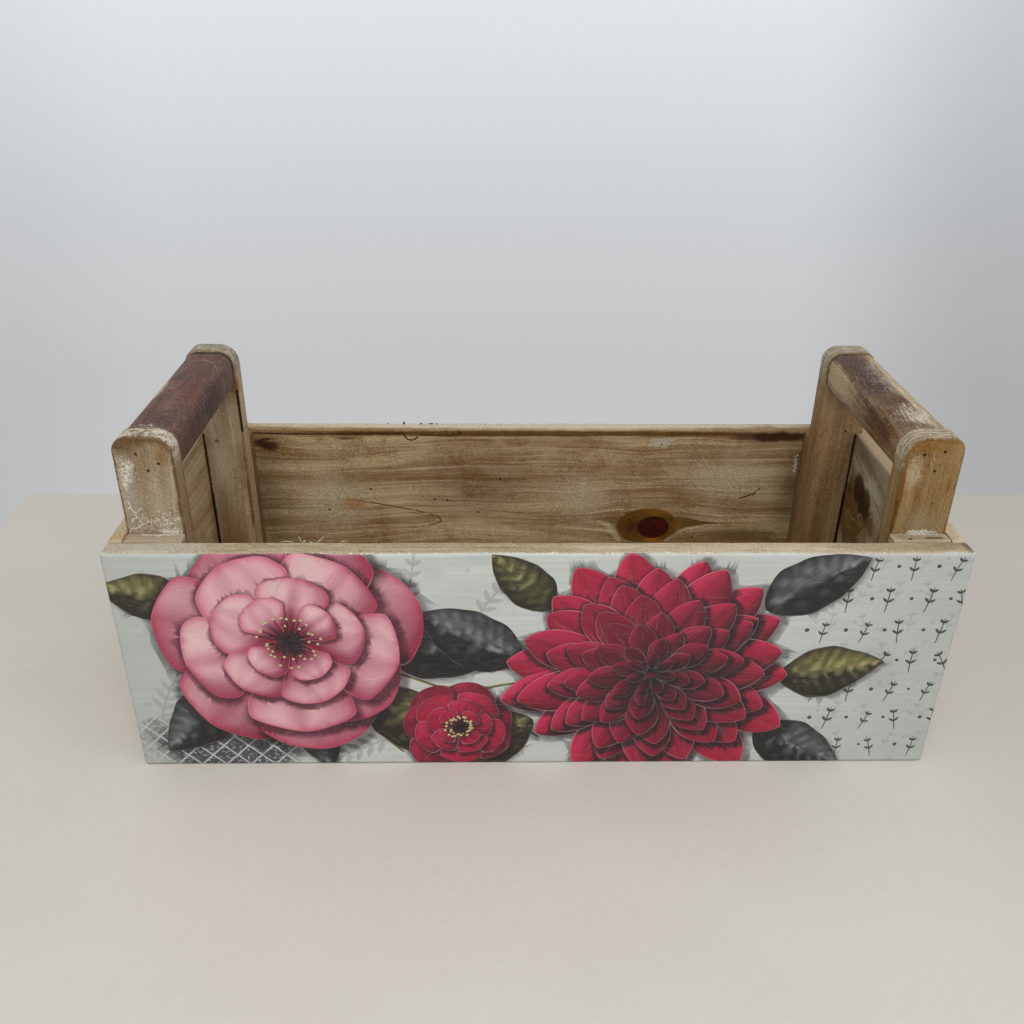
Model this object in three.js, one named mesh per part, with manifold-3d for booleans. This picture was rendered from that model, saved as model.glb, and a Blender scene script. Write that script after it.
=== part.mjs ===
// A hand-made pine crate: boards nailed round four corner posts, with a hand bar across each end.
// Millimetres. X runs along the crate, Y from front to back and Z up. The origin lies under its middle.

import * as THREE from "three";
import { mergeVertices } from "three/addons/utils/BufferGeometryUtils.js";
import Module from "manifold-3d";

// Boards
const CRATE_LENGTH = 450;
const INNER_DEPTH = 165; // from the front board to the back board
const FRONT_HEIGHT = 141; // the end boards are as high
const BACK_HEIGHT = 133;
const FRONT_THICKNESS = 12;
const BACK_THICKNESS = 11.5;
const END_THICKNESS = 12;
const END_REBATE = 4.5; // how deep the posts and cleats are let into an end board
const SHOULDER_GAP = 0.9; // open joint between a post and the end board's shoulder
const BOTTOM_THICKNESS = 9;
const BOARD_CORNER = 2; // radius of a board's corners, seen on its face
const BOARD_EASE = 1; // sanded round along the edges of both faces

// Printed paper pasted on the front board
const PAPER_THICKNESS = 0.2;
const PASTE_FILM = 0.05;
const PAPER_MARGIN = 0.5; // trimmed short of the board's outline

// Posts, cleats and hand bars
const POST_WIDTH = 30.5;
const POST_THICKNESS = 13.5;
const POST_TOP = 196; // above the table
const POST_SHOULDER = 9; // radius of a post's two top corners
const POST_EASE = 0.8;
const CLEAT_THICKNESS = 8.5; // packs a post out from the front or back board
const CLEAT_EASE = 0.5;
const BAR_HEIGHT = 20.5;
const BAR_INSET = 0.8; // a bar's section lies this far inside the posts' outline
const BAR_LOWER_EDGE = 0.8; // radius of a bar's two lower edges
const GLUE_LINE = 0.3; // gap at every joint

// Brads
const BRAD_SHANK = 1.4;
const BRAD_HEAD = 1.9;
const BRAD_HEAD_THICKNESS = 0.7;
const BRAD_POINT = 2;
const BRAD_SUNK = 1.2; // how far a head lies under the surface
const BRAD_CLEARANCE = 0.25;
const BRAD_BITE = 12; // how far a brad enters the last piece
const CORNER_BRAD_COVER = 4.5; // wood left past the point where that piece is a post's thickness

// Where brads go, as shares of the piece that they hold. The hand bars' brads were driven by eye, so they
// differ by end: across the bar from its middle, then up the bar from its underside.
const BAR_BRADS = {
  left: [[-0.22, 0.58], [0.53, 0.32], [0.12, 0.13]],
  right: [[-0.39, 0.58], [0.32, 0.66], [0.1, 0.13]],
};
const CORNER_BRAD_HEIGHTS = [0.25, 0.75];
const END_BRAD_HEIGHTS = [0.4, 0.88];
const LONG_EDGE_BRADS = [-1 / 3, 0, 1 / 3];
const SHORT_EDGE_BRADS = [-1 / 4, 1 / 4];

// Facets
const SHOULDER_STEPS = 4;
const CORNER_STEPS = 1;
const EASE_STEPS = 2;
const BRAD_SIDES = 8;

// Planes that the pieces share
const OUTER_DEPTH = PAPER_THICKNESS + PASTE_FILM + FRONT_THICKNESS + INNER_DEPTH + BACK_THICKNESS;
const FRONT_FACE = -OUTER_DEPTH / 2 + PAPER_THICKNESS + PASTE_FILM;
const FRONT_INSIDE = FRONT_FACE + FRONT_THICKNESS;
const BACK_INSIDE = FRONT_INSIDE + INNER_DEPTH;
const BACK_FACE = BACK_INSIDE + BACK_THICKNESS;
const MID_DEPTH = (FRONT_INSIDE + BACK_INSIDE) / 2;
const END_FACE = CRATE_LENGTH / 2;
const END_INSIDE = END_FACE - END_THICKNESS;
const REBATE_FACE = END_INSIDE + END_REBATE; // what the posts and cleats lie against
const FLOOR = BOTTOM_THICKNESS + GLUE_LINE; // what the posts and cleats stand on
const POST_X = REBATE_FACE - GLUE_LINE - POST_WIDTH / 2;
const POST_BACKSET = CLEAT_THICKNESS + 2 * GLUE_LINE; // from a board's inside to its posts
const BAR_LENGTH = INNER_DEPTH - 2 * (POST_BACKSET + POST_THICKNESS + GLUE_LINE);
const BAR_WIDTH = POST_WIDTH - 2 * BAR_INSET;
const BAR_UNDERSIDE = POST_TOP - BAR_INSET - BAR_HEIGHT;

// The crate's two faces and two ends. Inward is the sign of the way from a face or an end to the inside.
const FACES = [
  { name: "front", face: FRONT_FACE, inside: FRONT_INSIDE, height: FRONT_HEIGHT, inward: 1 },
  { name: "back", face: BACK_FACE, inside: BACK_INSIDE, height: BACK_HEIGHT, inward: -1 },
];
const ENDS = [
  { name: "left", side: -1, inward: 1 },
  { name: "right", side: 1, inward: -1 },
];

// A flat piece is drawn on its face, with its thickness along its own Z. These turns stand it up.
const FACING_FRONT = new THREE.Euler(Math.PI / 2, 0, 0);
const FACING_END = new THREE.Euler(Math.PI / 2, Math.PI / 2, 0);
const LYING = new THREE.Euler(0, 0, 0);

const PINE = new THREE.MeshStandardMaterial({ color: 0x9c8768, roughness: 0.75, metalness: 0 });
const STAINED_PINE = new THREE.MeshStandardMaterial({ color: 0x8d795a, roughness: 0.7, metalness: 0 });
const DARK_STAIN = new THREE.MeshStandardMaterial({ color: 0x5d4a42, roughness: 0.55, metalness: 0 });
const PRINT = new THREE.MeshStandardMaterial({ color: 0xc9cdc8, roughness: 0.45, metalness: 0 });
const STEEL = new THREE.MeshStandardMaterial({ color: 0x57534e, roughness: 0.5, metalness: 0.9 });

const wasm = await Module();
wasm.setup();

function solidOf(geometry) {
  const bare = geometry.clone();
  bare.deleteAttribute("normal");
  bare.deleteAttribute("uv");
  const merged = mergeVertices(bare);
  const vertProperties = merged.getAttribute("position").array;
  const triVerts = new Uint32Array(merged.index.array);
  return new wasm.Manifold(new wasm.Mesh({ numProp: 3, vertProperties, triVerts }));
}

function geometryOf(solid) {
  const { numProp, vertProperties, triVerts } = solid.getMesh();
  const geometry = new THREE.BufferGeometry();
  geometry.setAttribute("position", new THREE.BufferAttribute(vertProperties, numProp));
  geometry.setIndex(new THREE.BufferAttribute(triVerts, 1));
  geometry.computeVertexNormals();
  return geometry;
}

// A rectangle that stands on y = 0, centred on x = 0, with its top and bottom corners rounded.
function roundedOutline(width, height, topRadius, bottomRadius) {
  const half = width / 2;
  const quarter = Math.PI / 2;
  const shape = new THREE.Shape();
  shape.moveTo(bottomRadius - half, 0);
  shape.lineTo(half - bottomRadius, 0);
  if (bottomRadius > 0) {
    shape.absarc(half - bottomRadius, bottomRadius, bottomRadius, -quarter, 0);
  }
  shape.lineTo(half, height - topRadius);
  shape.absarc(half - topRadius, height - topRadius, topRadius, 0, quarter);
  shape.lineTo(topRadius - half, height);
  shape.absarc(topRadius - half, height - topRadius, topRadius, quarter, 2 * quarter);
  shape.lineTo(-half, bottomRadius);
  if (bottomRadius > 0) {
    shape.absarc(bottomRadius - half, bottomRadius, bottomRadius, 2 * quarter, 3 * quarter);
  }
  return shape;
}

// The outline made as thick as the piece, centred on z = 0, with the edges of both faces eased.
function thicken(shape, thickness, ease, curveSegments) {
  const geometry = new THREE.ExtrudeGeometry(shape, {
    depth: thickness - 2 * ease,
    bevelEnabled: ease > 0,
    bevelThickness: ease,
    bevelSize: ease,
    bevelOffset: -ease,
    bevelSegments: EASE_STEPS,
    curveSegments,
  });
  return geometry.translate(0, 0, ease - thickness / 2);
}

function board(width, height, thickness) {
  const shape = roundedOutline(width, height, BOARD_CORNER, BOARD_CORNER);
  return thicken(shape, thickness, BOARD_EASE, CORNER_STEPS);
}

// An end board, rebated down both edges of its inner face. Side is the sign of the end's place on X.
function endBoard(side) {
  const width = INNER_DEPTH - 2 * GLUE_LINE;
  const rebateWidth = POST_BACKSET + POST_THICKNESS + SHOULDER_GAP - GLUE_LINE;
  const uncut = solidOf(board(width, FRONT_HEIGHT, END_THICKNESS));
  const rebates = [-1, 1].map((edge) => {
    const cutter = new THREE.BoxGeometry(2 * rebateWidth, 2 * FRONT_HEIGHT, 2 * END_REBATE);
    return solidOf(cutter.translate((edge * width) / 2, FRONT_HEIGHT / 2, (-side * END_THICKNESS) / 2));
  });
  return geometryOf(uncut.subtract(rebates[0]).subtract(rebates[1]));
}

function paper() {
  const width = CRATE_LENGTH - 2 * PAPER_MARGIN;
  const height = FRONT_HEIGHT - 2 * PAPER_MARGIN;
  const shape = roundedOutline(width, height, BOARD_CORNER, BOARD_CORNER);
  return thicken(shape, PAPER_THICKNESS, 0, CORNER_STEPS);
}

function post() {
  const shape = roundedOutline(POST_WIDTH, POST_TOP - FLOOR, POST_SHOULDER, 0);
  return thicken(shape, POST_THICKNESS, POST_EASE, SHOULDER_STEPS);
}

function cleat(height) {
  const shape = roundedOutline(POST_WIDTH, height - FLOOR, CLEAT_EASE, 0);
  return thicken(shape, CLEAT_THICKNESS, CLEAT_EASE, CORNER_STEPS);
}

// The bar's section follows the posts' shoulders and has a flat underside.
function handBar() {
  const shape = roundedOutline(BAR_WIDTH, BAR_HEIGHT, POST_SHOULDER - BAR_INSET, BAR_LOWER_EDGE);
  return thicken(shape, BAR_LENGTH, 0, SHOULDER_STEPS);
}

// A brad driven along its own +Y through a surface at y = 0, and the hole that it makes.
function bradGeometry(length) {
  const neck = BRAD_SUNK + BRAD_HEAD_THICKNESS;
  return lathed([
    [0, BRAD_SUNK],
    [BRAD_HEAD / 2, BRAD_SUNK],
    [BRAD_HEAD / 2, neck],
    [BRAD_SHANK / 2, neck],
    [BRAD_SHANK / 2, length - BRAD_POINT],
    [0, length],
  ]);
}

function bradHole(length) {
  const mouth = -BRAD_SUNK; // well outside the surface, so that the cut is clean
  const neck = BRAD_SUNK + BRAD_HEAD_THICKNESS + BRAD_CLEARANCE;
  const end = length + BRAD_CLEARANCE;
  return lathed([
    [0, mouth],
    [BRAD_HEAD / 2 + BRAD_CLEARANCE, mouth],
    [BRAD_HEAD / 2 + BRAD_CLEARANCE, neck],
    [BRAD_SHANK / 2 + BRAD_CLEARANCE, neck],
    [BRAD_SHANK / 2 + BRAD_CLEARANCE, end],
    [0, end],
  ]);
}

function lathed(profile) {
  const points = profile.map(([radius, along]) => new THREE.Vector2(radius, along));
  return new THREE.LatheGeometry(points, BRAD_SIDES);
}

const crate = new THREE.Group();
crate.name = "crate";
const brads = [];

// A brad goes in at a point of a surface, along X or Y, the way that inward says.
function drive(name, x, y, z, axis, inward, length) {
  const turn = new THREE.Euler();
  if (axis === "x") turn.z = (-inward * Math.PI) / 2;
  else if (inward < 0) turn.x = Math.PI;
  brads.push({ name, at: new THREE.Vector3(x, y, z), turn, length });
}

// Three brads through each post into the end of its hand bar.
for (const end of ENDS) {
  for (const { name, inside, inward } of FACES) {
    const surface = inside + inward * POST_BACKSET;
    const length = POST_THICKNESS + GLUE_LINE + BRAD_BITE;
    BAR_BRADS[end.name].forEach(([across, up], i) => {
      const x = end.side * POST_X + (across * BAR_WIDTH) / 2;
      const z = BAR_UNDERSIDE + up * BAR_HEIGHT;
      drive(`bar_brad_${name}_${end.name}_${i + 1}`, x, surface, z, "y", inward, length);
    });
  }
}

// Brads through the front and back boards and their cleats into the posts.
for (const { name, face, inside, height, inward } of FACES) {
  const length = Math.abs(inside - face) + POST_BACKSET + POST_THICKNESS - CORNER_BRAD_COVER;
  for (const end of ENDS) {
    CORNER_BRAD_HEIGHTS.forEach((share, i) => {
      const z = share * height;
      drive(`corner_brad_${name}_${end.name}_${i + 1}`, end.side * POST_X, face, z, "y", inward, length);
    });
  }
}

// Brads through the end boards into the posts.
for (const end of ENDS) {
  const x = end.side * END_FACE;
  const length = END_FACE - REBATE_FACE + GLUE_LINE + BRAD_BITE;
  for (const { name, inside, inward } of FACES) {
    const y = inside + inward * (POST_BACKSET + POST_THICKNESS / 2);
    END_BRAD_HEIGHTS.forEach((share, i) => {
      const z = share * FRONT_HEIGHT;
      drive(`end_brad_${end.name}_${name}_${i + 1}`, x, y, z, "x", end.inward, length);
    });
  }
}

// Brads through all four boards into the edges of the bottom board.
const bottomMiddle = BOTTOM_THICKNESS / 2;
for (const { name, face, inside, inward } of FACES) {
  const length = Math.abs(inside - face) + GLUE_LINE + BRAD_BITE;
  LONG_EDGE_BRADS.forEach((share, i) => {
    drive(`bottom_brad_${name}_${i + 1}`, share * CRATE_LENGTH, face, bottomMiddle, "y", inward, length);
  });
}
for (const { name, side, inward } of ENDS) {
  const length = END_THICKNESS + GLUE_LINE + BRAD_BITE;
  SHORT_EDGE_BRADS.forEach((share, i) => {
    const y = MID_DEPTH + share * INNER_DEPTH;
    drive(`bottom_brad_${name}_${i + 1}`, side * END_FACE, y, bottomMiddle, "x", inward, length);
  });
}

// Every brad's hole in the crate's own frame, as one solid.
const holes = brads
  .map(({ at, turn, length }) => {
    const place = new THREE.Matrix4().makeRotationFromEuler(turn).setPosition(at);
    return solidOf(bradHole(length).applyMatrix4(place));
  })
  .reduce((all, hole) => all.add(hole));
const holesGeometry = geometryOf(holes);

function add(name, geometry, material, turn, x, y, z) {
  const mesh = new THREE.Mesh(geometry, material);
  mesh.name = name;
  mesh.position.set(x, y, z);
  mesh.rotation.copy(turn);
  crate.add(mesh);
  return mesh;
}

// A wooden piece, bored for the brads that cross it.
function addBored(name, geometry, material, turn, x, y, z) {
  const mesh = add(name, geometry, material, turn, x, y, z);
  mesh.updateMatrix();
  const intoPiece = mesh.matrix.clone().invert();
  const cut = solidOf(holesGeometry.clone().applyMatrix4(intoPiece));
  mesh.geometry = geometryOf(solidOf(geometry).subtract(cut));
}

// Front and back boards run the crate's full length.
for (const { name, face, inside, height } of FACES) {
  const geometry = board(CRATE_LENGTH, height, Math.abs(inside - face));
  addBored(`${name}_board`, geometry, PINE, FACING_FRONT, 0, (face + inside) / 2, 0);
}
const paperY = FRONT_FACE - PASTE_FILM - PAPER_THICKNESS / 2;
add("front_paper", paper(), PRINT, FACING_FRONT, 0, paperY, PAPER_MARGIN);

// End boards fit between them, with the posts let into their inner faces.
for (const { name, side } of ENDS) {
  const x = side * (END_FACE - END_THICKNESS / 2);
  addBored(`${name}_end_board`, endBoard(side), PINE, FACING_END, x, MID_DEPTH, 0);
}

// The bottom board lies inside all four.
const bottomDepth = INNER_DEPTH - 2 * GLUE_LINE;
const bottom = board(2 * (END_INSIDE - GLUE_LINE), bottomDepth, BOTTOM_THICKNESS);
addBored("bottom_board", bottom, PINE, LYING, 0, MID_DEPTH - bottomDepth / 2, bottomMiddle);

// A post in each corner, packed out by a cleat.
for (const { name, inside, height, inward } of FACES) {
  for (const end of ENDS) {
    const x = end.side * POST_X;
    const cleatY = inside + inward * (GLUE_LINE + CLEAT_THICKNESS / 2);
    const postY = inside + inward * (POST_BACKSET + POST_THICKNESS / 2);
    addBored(`${name}_${end.name}_cleat`, cleat(height), PINE, FACING_FRONT, x, cleatY, FLOOR);
    addBored(`${name}_${end.name}_post`, post(), STAINED_PINE, FACING_FRONT, x, postY, FLOOR);
  }
}

// A hand bar between the two posts of each end.
for (const { name, side } of ENDS) {
  addBored(`${name}_hand_bar`, handBar(), DARK_STAIN, FACING_FRONT, side * POST_X, MID_DEPTH, BAR_UNDERSIDE);
}

for (const { name, at, turn, length } of brads) {
  add(name, bradGeometry(length), STEEL, turn, at.x, at.y, at.z);
}

export default crate;
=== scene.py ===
"""A worn pine crate with a hand bar at each end and a flower print pasted on its front board."""

import math
import random

import bmesh
import bpy
import numpy as np
from mathutils import Matrix, Vector, geometry, noise


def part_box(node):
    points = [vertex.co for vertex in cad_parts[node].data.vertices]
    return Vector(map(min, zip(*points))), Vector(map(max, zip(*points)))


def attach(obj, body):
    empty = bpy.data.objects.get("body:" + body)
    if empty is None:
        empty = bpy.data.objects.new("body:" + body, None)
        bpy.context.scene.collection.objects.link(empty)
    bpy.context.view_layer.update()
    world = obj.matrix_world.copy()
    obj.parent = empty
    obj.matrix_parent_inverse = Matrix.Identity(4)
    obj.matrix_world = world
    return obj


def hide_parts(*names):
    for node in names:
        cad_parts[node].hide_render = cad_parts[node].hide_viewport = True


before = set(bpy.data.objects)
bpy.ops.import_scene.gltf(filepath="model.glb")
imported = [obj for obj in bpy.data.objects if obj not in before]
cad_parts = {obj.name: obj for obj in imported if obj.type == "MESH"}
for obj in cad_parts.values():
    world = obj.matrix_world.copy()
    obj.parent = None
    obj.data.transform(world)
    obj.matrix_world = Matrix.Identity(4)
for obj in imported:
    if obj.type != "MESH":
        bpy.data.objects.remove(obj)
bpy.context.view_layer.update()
MM = 0.001
BODY = "root"

# The photograph's camera, worked out from the crate's corners
CAMERA_PLACE = (-0.0235, -0.5204, 0.3938)
CAMERA_DOWN = math.radians(28.23)
CAMERA_TURN = math.radians(1.13)
CAMERA_ROLL = math.radians(0.53)
CAMERA_LENS = 34.06


def to_linear(colours):
    """Screen colours, 0 to 255, as linear ones."""
    share = np.clip(colours / 255, 0, 1)
    return np.where(share <= 0.04045, share / 12.92, ((share + 0.055) / 1.055) ** 2.4)


def srgb(red, green, blue):
    """A screen colour, 0 to 255, as the linear colour that nodes take."""
    return (*to_linear(np.array((red, green, blue), float)).tolist(), 1.0)


class Graph:
    """The nodes of a material or a world. Most methods add a node or two and return what comes out."""

    def __init__(self, owner):
        owner.use_nodes = True
        self.owner = owner
        self.nodes, self.links = owner.node_tree.nodes, owner.node_tree.links
        self.shader = self.nodes.get("Principled BSDF")
        self.rims = {}

    def put(self, socket, value):
        if isinstance(value, bpy.types.NodeSocket):
            self.links.new(value, socket)
        else:
            socket.default_value = value

    def add(self, kind, inputs, output=0, **settings):
        node = self.nodes.new(kind)
        for key, value in settings.items():
            setattr(node, key, value)
        for key, value in inputs.items():
            self.put(node.inputs[key], value)
        return node.outputs[output]

    def math(self, operation, a, b=0.0, clamp=False):
        return self.add("ShaderNodeMath", {0: a, 1: b}, operation=operation, use_clamp=clamp)

    def total(self, *terms):
        result = terms[0]
        for term in terms[1:]:
            result = self.math("ADD", result, term)
        return result

    def times(self, *factors):
        result = factors[0]
        for factor in factors[1:]:
            result = self.math("MULTIPLY", result, factor)
        return result

    def step(self, value, low, high):
        """0 at low and 1 at high, with a smooth way between. Low may be the larger."""
        inputs = {"Value": value, "From Min": low, "From Max": high}
        return self.add("ShaderNodeMapRange", inputs, interpolation_type="SMOOTHSTEP")

    def mix(self, share, a, b):
        return self.add("ShaderNodeMix", {0: share, 6: a, 7: b}, 2, data_type="RGBA")

    def lay(self, ground, tone, *factors):
        """A tone laid over a ground as strongly as the product of its factors."""
        return self.mix(self.times(*factors), ground, tone)

    def vector(self, operation, a, b, output=0):
        return self.add("ShaderNodeVectorMath", {0: a, 1: b}, output, operation=operation)

    def scaled(self, vector, factor):
        return self.add("ShaderNodeVectorMath", {0: vector, "Scale": factor}, operation="SCALE")

    def place(self):
        """Where a point lies on the crate, in millimetres."""
        return self.scaled(self.add("ShaderNodeTexCoord", {}, "Object"), 1 / MM)

    def split(self, vector):
        node = self.nodes.new("ShaderNodeSeparateXYZ")
        self.links.new(vector, node.inputs[0])
        return tuple(node.outputs)

    def join(self, x, y, z):
        return self.add("ShaderNodeCombineXYZ", {0: x, 1: y, 2: z})

    def stretch(self, vector, scale, shift=(0, 0, 0)):
        return self.add("ShaderNodeMapping", {"Vector": vector, "Scale": scale, "Location": shift})

    def noise(self, vector, scale, detail, roughness=0.5, shift=(0, 0, 0)):
        """Noise over a place that is first stretched along each axis."""
        place = self.stretch(vector, scale, shift)
        inputs = {"Vector": place, "Scale": 1.0, "Detail": detail, "Roughness": roughness}
        return self.add("ShaderNodeTexNoise", inputs)

    def cells(self, vector):
        """How far a point lies from the walls of irregular cells."""
        inputs = {"Vector": vector, "Scale": 1.0}
        return self.add("ShaderNodeTexVoronoi", inputs, feature="DISTANCE_TO_EDGE")

    def far(self, vector, centre, radii):
        """How far a point lies from a centre, counted in radii."""
        share = self.vector("DIVIDE", self.vector("SUBTRACT", vector, centre), radii)
        return self.add("ShaderNodeVectorMath", {0: share}, "Value", operation="LENGTH")

    def gap(self, vector, start, end):
        """How far a point lies from the line between two others."""
        run = Vector(end) - Vector(start)
        away = self.vector("SUBTRACT", vector, start)
        ahead = self.vector("DOT_PRODUCT", away, run, "Value")
        share = self.math("DIVIDE", ahead, run.length_squared, clamp=True)
        return self.vector("DISTANCE", away, self.scaled(run, share), "Value")

    def rim(self, vector, grain):
        """The rough noise that breaks up marks: one for each size of grain."""
        if grain not in self.rims:
            self.rims[grain] = self.noise(vector, (grain, grain, grain), 4.0, 0.65)
        return self.rims[grain]

    def spot(self, vector, centre, radii, ragged=0.5, soft=0.5, grain=0.12):
        """A patch with a ragged rim: 1 in its middle and 0 outside."""
        rough = self.times(self.math("SUBTRACT", self.rim(vector, grain), 0.5), 2 * ragged)
        return self.step(self.math("ADD", self.far(vector, centre, radii), rough), 1.0, 1.0 - soft)

    def attribute(self, name, output="Fac"):
        return self.add("ShaderNodeAttribute", {}, output, attribute_name=name)

    def finish(self, colour, roughness, height=None, depth=0.2, strength=0.5):
        """Wires the colour, the roughness and a bump that is depth millimetres high."""
        self.put(self.shader.inputs["Base Color"], colour)
        self.put(self.shader.inputs["Roughness"], roughness)
        if height is not None:
            bump = {"Strength": strength, "Distance": depth * MM, "Height": height}
            self.put(self.shader.inputs["Normal"], self.add("ShaderNodeBump", bump))
        return self.owner


def material_graph(name):
    return Graph(bpy.data.materials.new(name))


# Marks on the wood: each is a function that paints over the colour at a place on the crate

BONE = srgb(204, 197, 182)
BARE = srgb(180, 160, 128)
UMBER = srgb(84, 54, 28)
# A near-black brown: for soot, holes and cracks, and for painted shade in gaps and joints.
SOOT_AND_SHADE = srgb(34, 22, 14)


def stain(centre, radii, tone, strength, ragged=0.5, soft=0.6, grain=0.12):
    """A ragged patch of another colour."""
    def paint(graph, place, colour):
        mask = graph.spot(place, centre, radii, ragged, soft, grain)
        return graph.lay(colour, tone, mask, strength)
    return paint


def streaks(centre, radii, scale, tone, strength, cover=0.5, soft=0.14):
    """Ragged streaks, drawn out along the grain by their scale and thickest in the middle of a patch."""
    def paint(graph, place, colour):
        run = graph.noise(place, scale, 5.0, 0.65)
        patch = graph.spot(place, centre, radii, 0.4, 1.0, 0.06)
        level = graph.total(run, graph.times(patch, 0.5))
        least = 1.05 - 0.35 * cover
        return graph.lay(colour, tone, graph.step(level, least, least + soft), strength)
    return paint


def seam(start, end, width, tone, strength, ragged=0.8, plane=(1, 1, 1)):
    """A ragged line from one point to another, seen square to a plane."""
    def paint(graph, place, colour):
        flat = graph.stretch(place, plane)
        ends = [tuple(p * q for p, q in zip(point, plane)) for point in (start, end)]
        rough = graph.total(1.0 - ragged, graph.times(graph.rim(place, 0.5), 2 * ragged))
        reach = graph.math("DIVIDE", graph.gap(flat, *ends), graph.times(rough, width))
        return graph.lay(colour, tone, graph.step(reach, 1.0, 0.3), strength)
    return paint


def thread(points, width, tone, strength, ragged=0.7, plane=(1, 1, 1)):
    """A thin bent line through several points."""
    pairs = zip(points, points[1:])
    return [seam(here, there, width, tone, strength, ragged, plane) for here, there in pairs]


def near_side(graph, depth, face):
    """1 on the near face of an upright board and 0 from its middle on."""
    return graph.step(depth, face + 5.0, face + 2.0)


def arch(apex, reach, half, tilt, width, tone, strength):
    """A thin line on an upright board that bends back on itself, as a growth ring does."""
    def paint(graph, place, colour):
        x, depth, z = graph.split(place)
        along = graph.math("SUBTRACT", x, apex[0])
        over = graph.total(z, -apex[2], graph.times(along, -tilt))
        bow = graph.total(along, graph.times(over, over, reach / half ** 2))
        slope = graph.times(over, 2 * reach / half ** 2)
        steep = graph.math("SQRT", graph.total(graph.times(slope, slope), 1.0))
        gap = graph.math("DIVIDE", graph.math("ABSOLUTE", bow), steep)
        upper = graph.step(along, -reach, -0.5 * reach)
        lower = graph.step(along, -0.4 * reach, -0.15 * reach)
        shown = graph.math("MAXIMUM", graph.times(upper, graph.step(over, -2.0, 2.0)), lower)
        broken = graph.times(graph.step(graph.rim(place, 0.3), 0.3, 0.5), near_side(graph, depth, apex[1]))
        return graph.lay(colour, tone, shown, graph.step(gap, width, 0.2 * width), broken, strength)
    return paint


def eye(centre, reach, half, tone, strength, soft=0.35):
    """A patch with drawn-out ends on an upright board, as the grain makes round a knot."""
    def paint(graph, place, colour):
        x, depth, z = graph.split(place)
        along = graph.times(graph.math("SUBTRACT", x, centre[0]), 1 / reach)
        over = graph.times(graph.math("ABSOLUTE", graph.math("SUBTRACT", z, centre[2])), 1 / half)
        taper = graph.math("EXPONENT", graph.times(along, along, 2.4))
        rough = graph.times(graph.math("SUBTRACT", graph.rim(place, 0.12), 0.5), 0.5)
        mask = graph.step(graph.total(graph.times(over, taper), rough), 1.0, 1.0 - soft)
        return graph.lay(colour, tone, mask, near_side(graph, depth, centre[1]), strength)
    return paint


def flakes(centre, radii, tone, strength, fine=0.9, cover=0.5):
    """Chips of paint, glue or paper, thickest in the middle of a ragged patch."""
    def paint(graph, place, colour):
        patch = graph.spot(place, centre, radii, 0.5, 1.0)
        level = graph.total(graph.rim(place, fine), graph.times(patch, 0.4))
        least = 1.08 - 0.4 * cover
        return graph.lay(colour, tone, graph.step(level, least, least + 0.07), strength)
    return paint


def webs(centre, radii, tone, strength, cell=0.2):
    """Dried threads of glue and paper that cross each other."""
    def paint(graph, place, colour):
        shift = graph.times(graph.math("SUBTRACT", graph.rim(place, 0.12), 0.5), 11.0)
        bent = graph.vector("ADD", place, graph.join(shift, shift, shift))
        line = graph.step(graph.cells(graph.stretch(bent, (cell, cell, cell * 0.7))), 0.07, 0.01)
        broken = graph.step(graph.rim(place, 0.5), 0.4, 0.55)
        patch = graph.spot(place, centre, radii, 0.9, 0.7)
        return graph.lay(colour, tone, line, broken, patch, strength)
    return paint


def crown_paint(low, high, tone, strength, cover=0.5, grooves=(), ground=srgb(126, 106, 78), laid=0.5):
    """Pale flaking paint over its ground on the rounded top of a post. It fades in between two heights and
    has gone from the grooves."""
    def paint(graph, place, colour):
        _, depth, height = graph.split(place)
        thin = graph.total(graph.times(graph.rim(place, 0.3), 0.5), graph.times(graph.rim(place, 0.9), 0.5))
        left = graph.step(thin, 0.6 - 0.25 * cover, 0.68 - 0.25 * cover)
        cap = graph.times(graph.attribute("crown"), graph.step(height, low, high))
        colour = graph.lay(colour, ground, cap, laid)
        colour = graph.lay(colour, tone, cap, left, strength)
        for groove in grooves:
            wide = graph.total(0.1, graph.times(graph.rim(place, 0.3), 0.7))
            gap = graph.math("DIVIDE", graph.math("ABSOLUTE", graph.math("SUBTRACT", depth, groove)), wide)
            colour = graph.lay(colour, srgb(96, 76, 50), cap, graph.step(gap, 1.2, 0.4), 0.65)
        return colour
    return paint


def scratches(tone, strength, cover=0.5, upright=False):
    """Fine light scratches that cross at several slants, seen from above or from the front."""
    def paint(graph, place, colour):
        x, y, z = graph.split(place)
        over = z if upright else y
        shown = 0.0
        for lean in (0.9, -0.7, 0.25, -2.2):
            along = graph.total(x, graph.times(over, lean))
            across = graph.total(over, graph.times(x, -lean))
            hair = graph.noise(graph.join(along, across, lean), (0.07, 1.1, 1.0), 3.0, 0.65)
            shown = graph.math("MAXIMUM", shown, graph.step(hair, 0.74 - 0.2 * cover, 0.8 - 0.2 * cover))
        patchy = graph.step(graph.rim(place, 0.12), 0.35, 0.65)
        return graph.lay(colour, tone, shown, patchy, strength)
    return paint


GRIT = (0.6, 1.05, 1.05)


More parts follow.
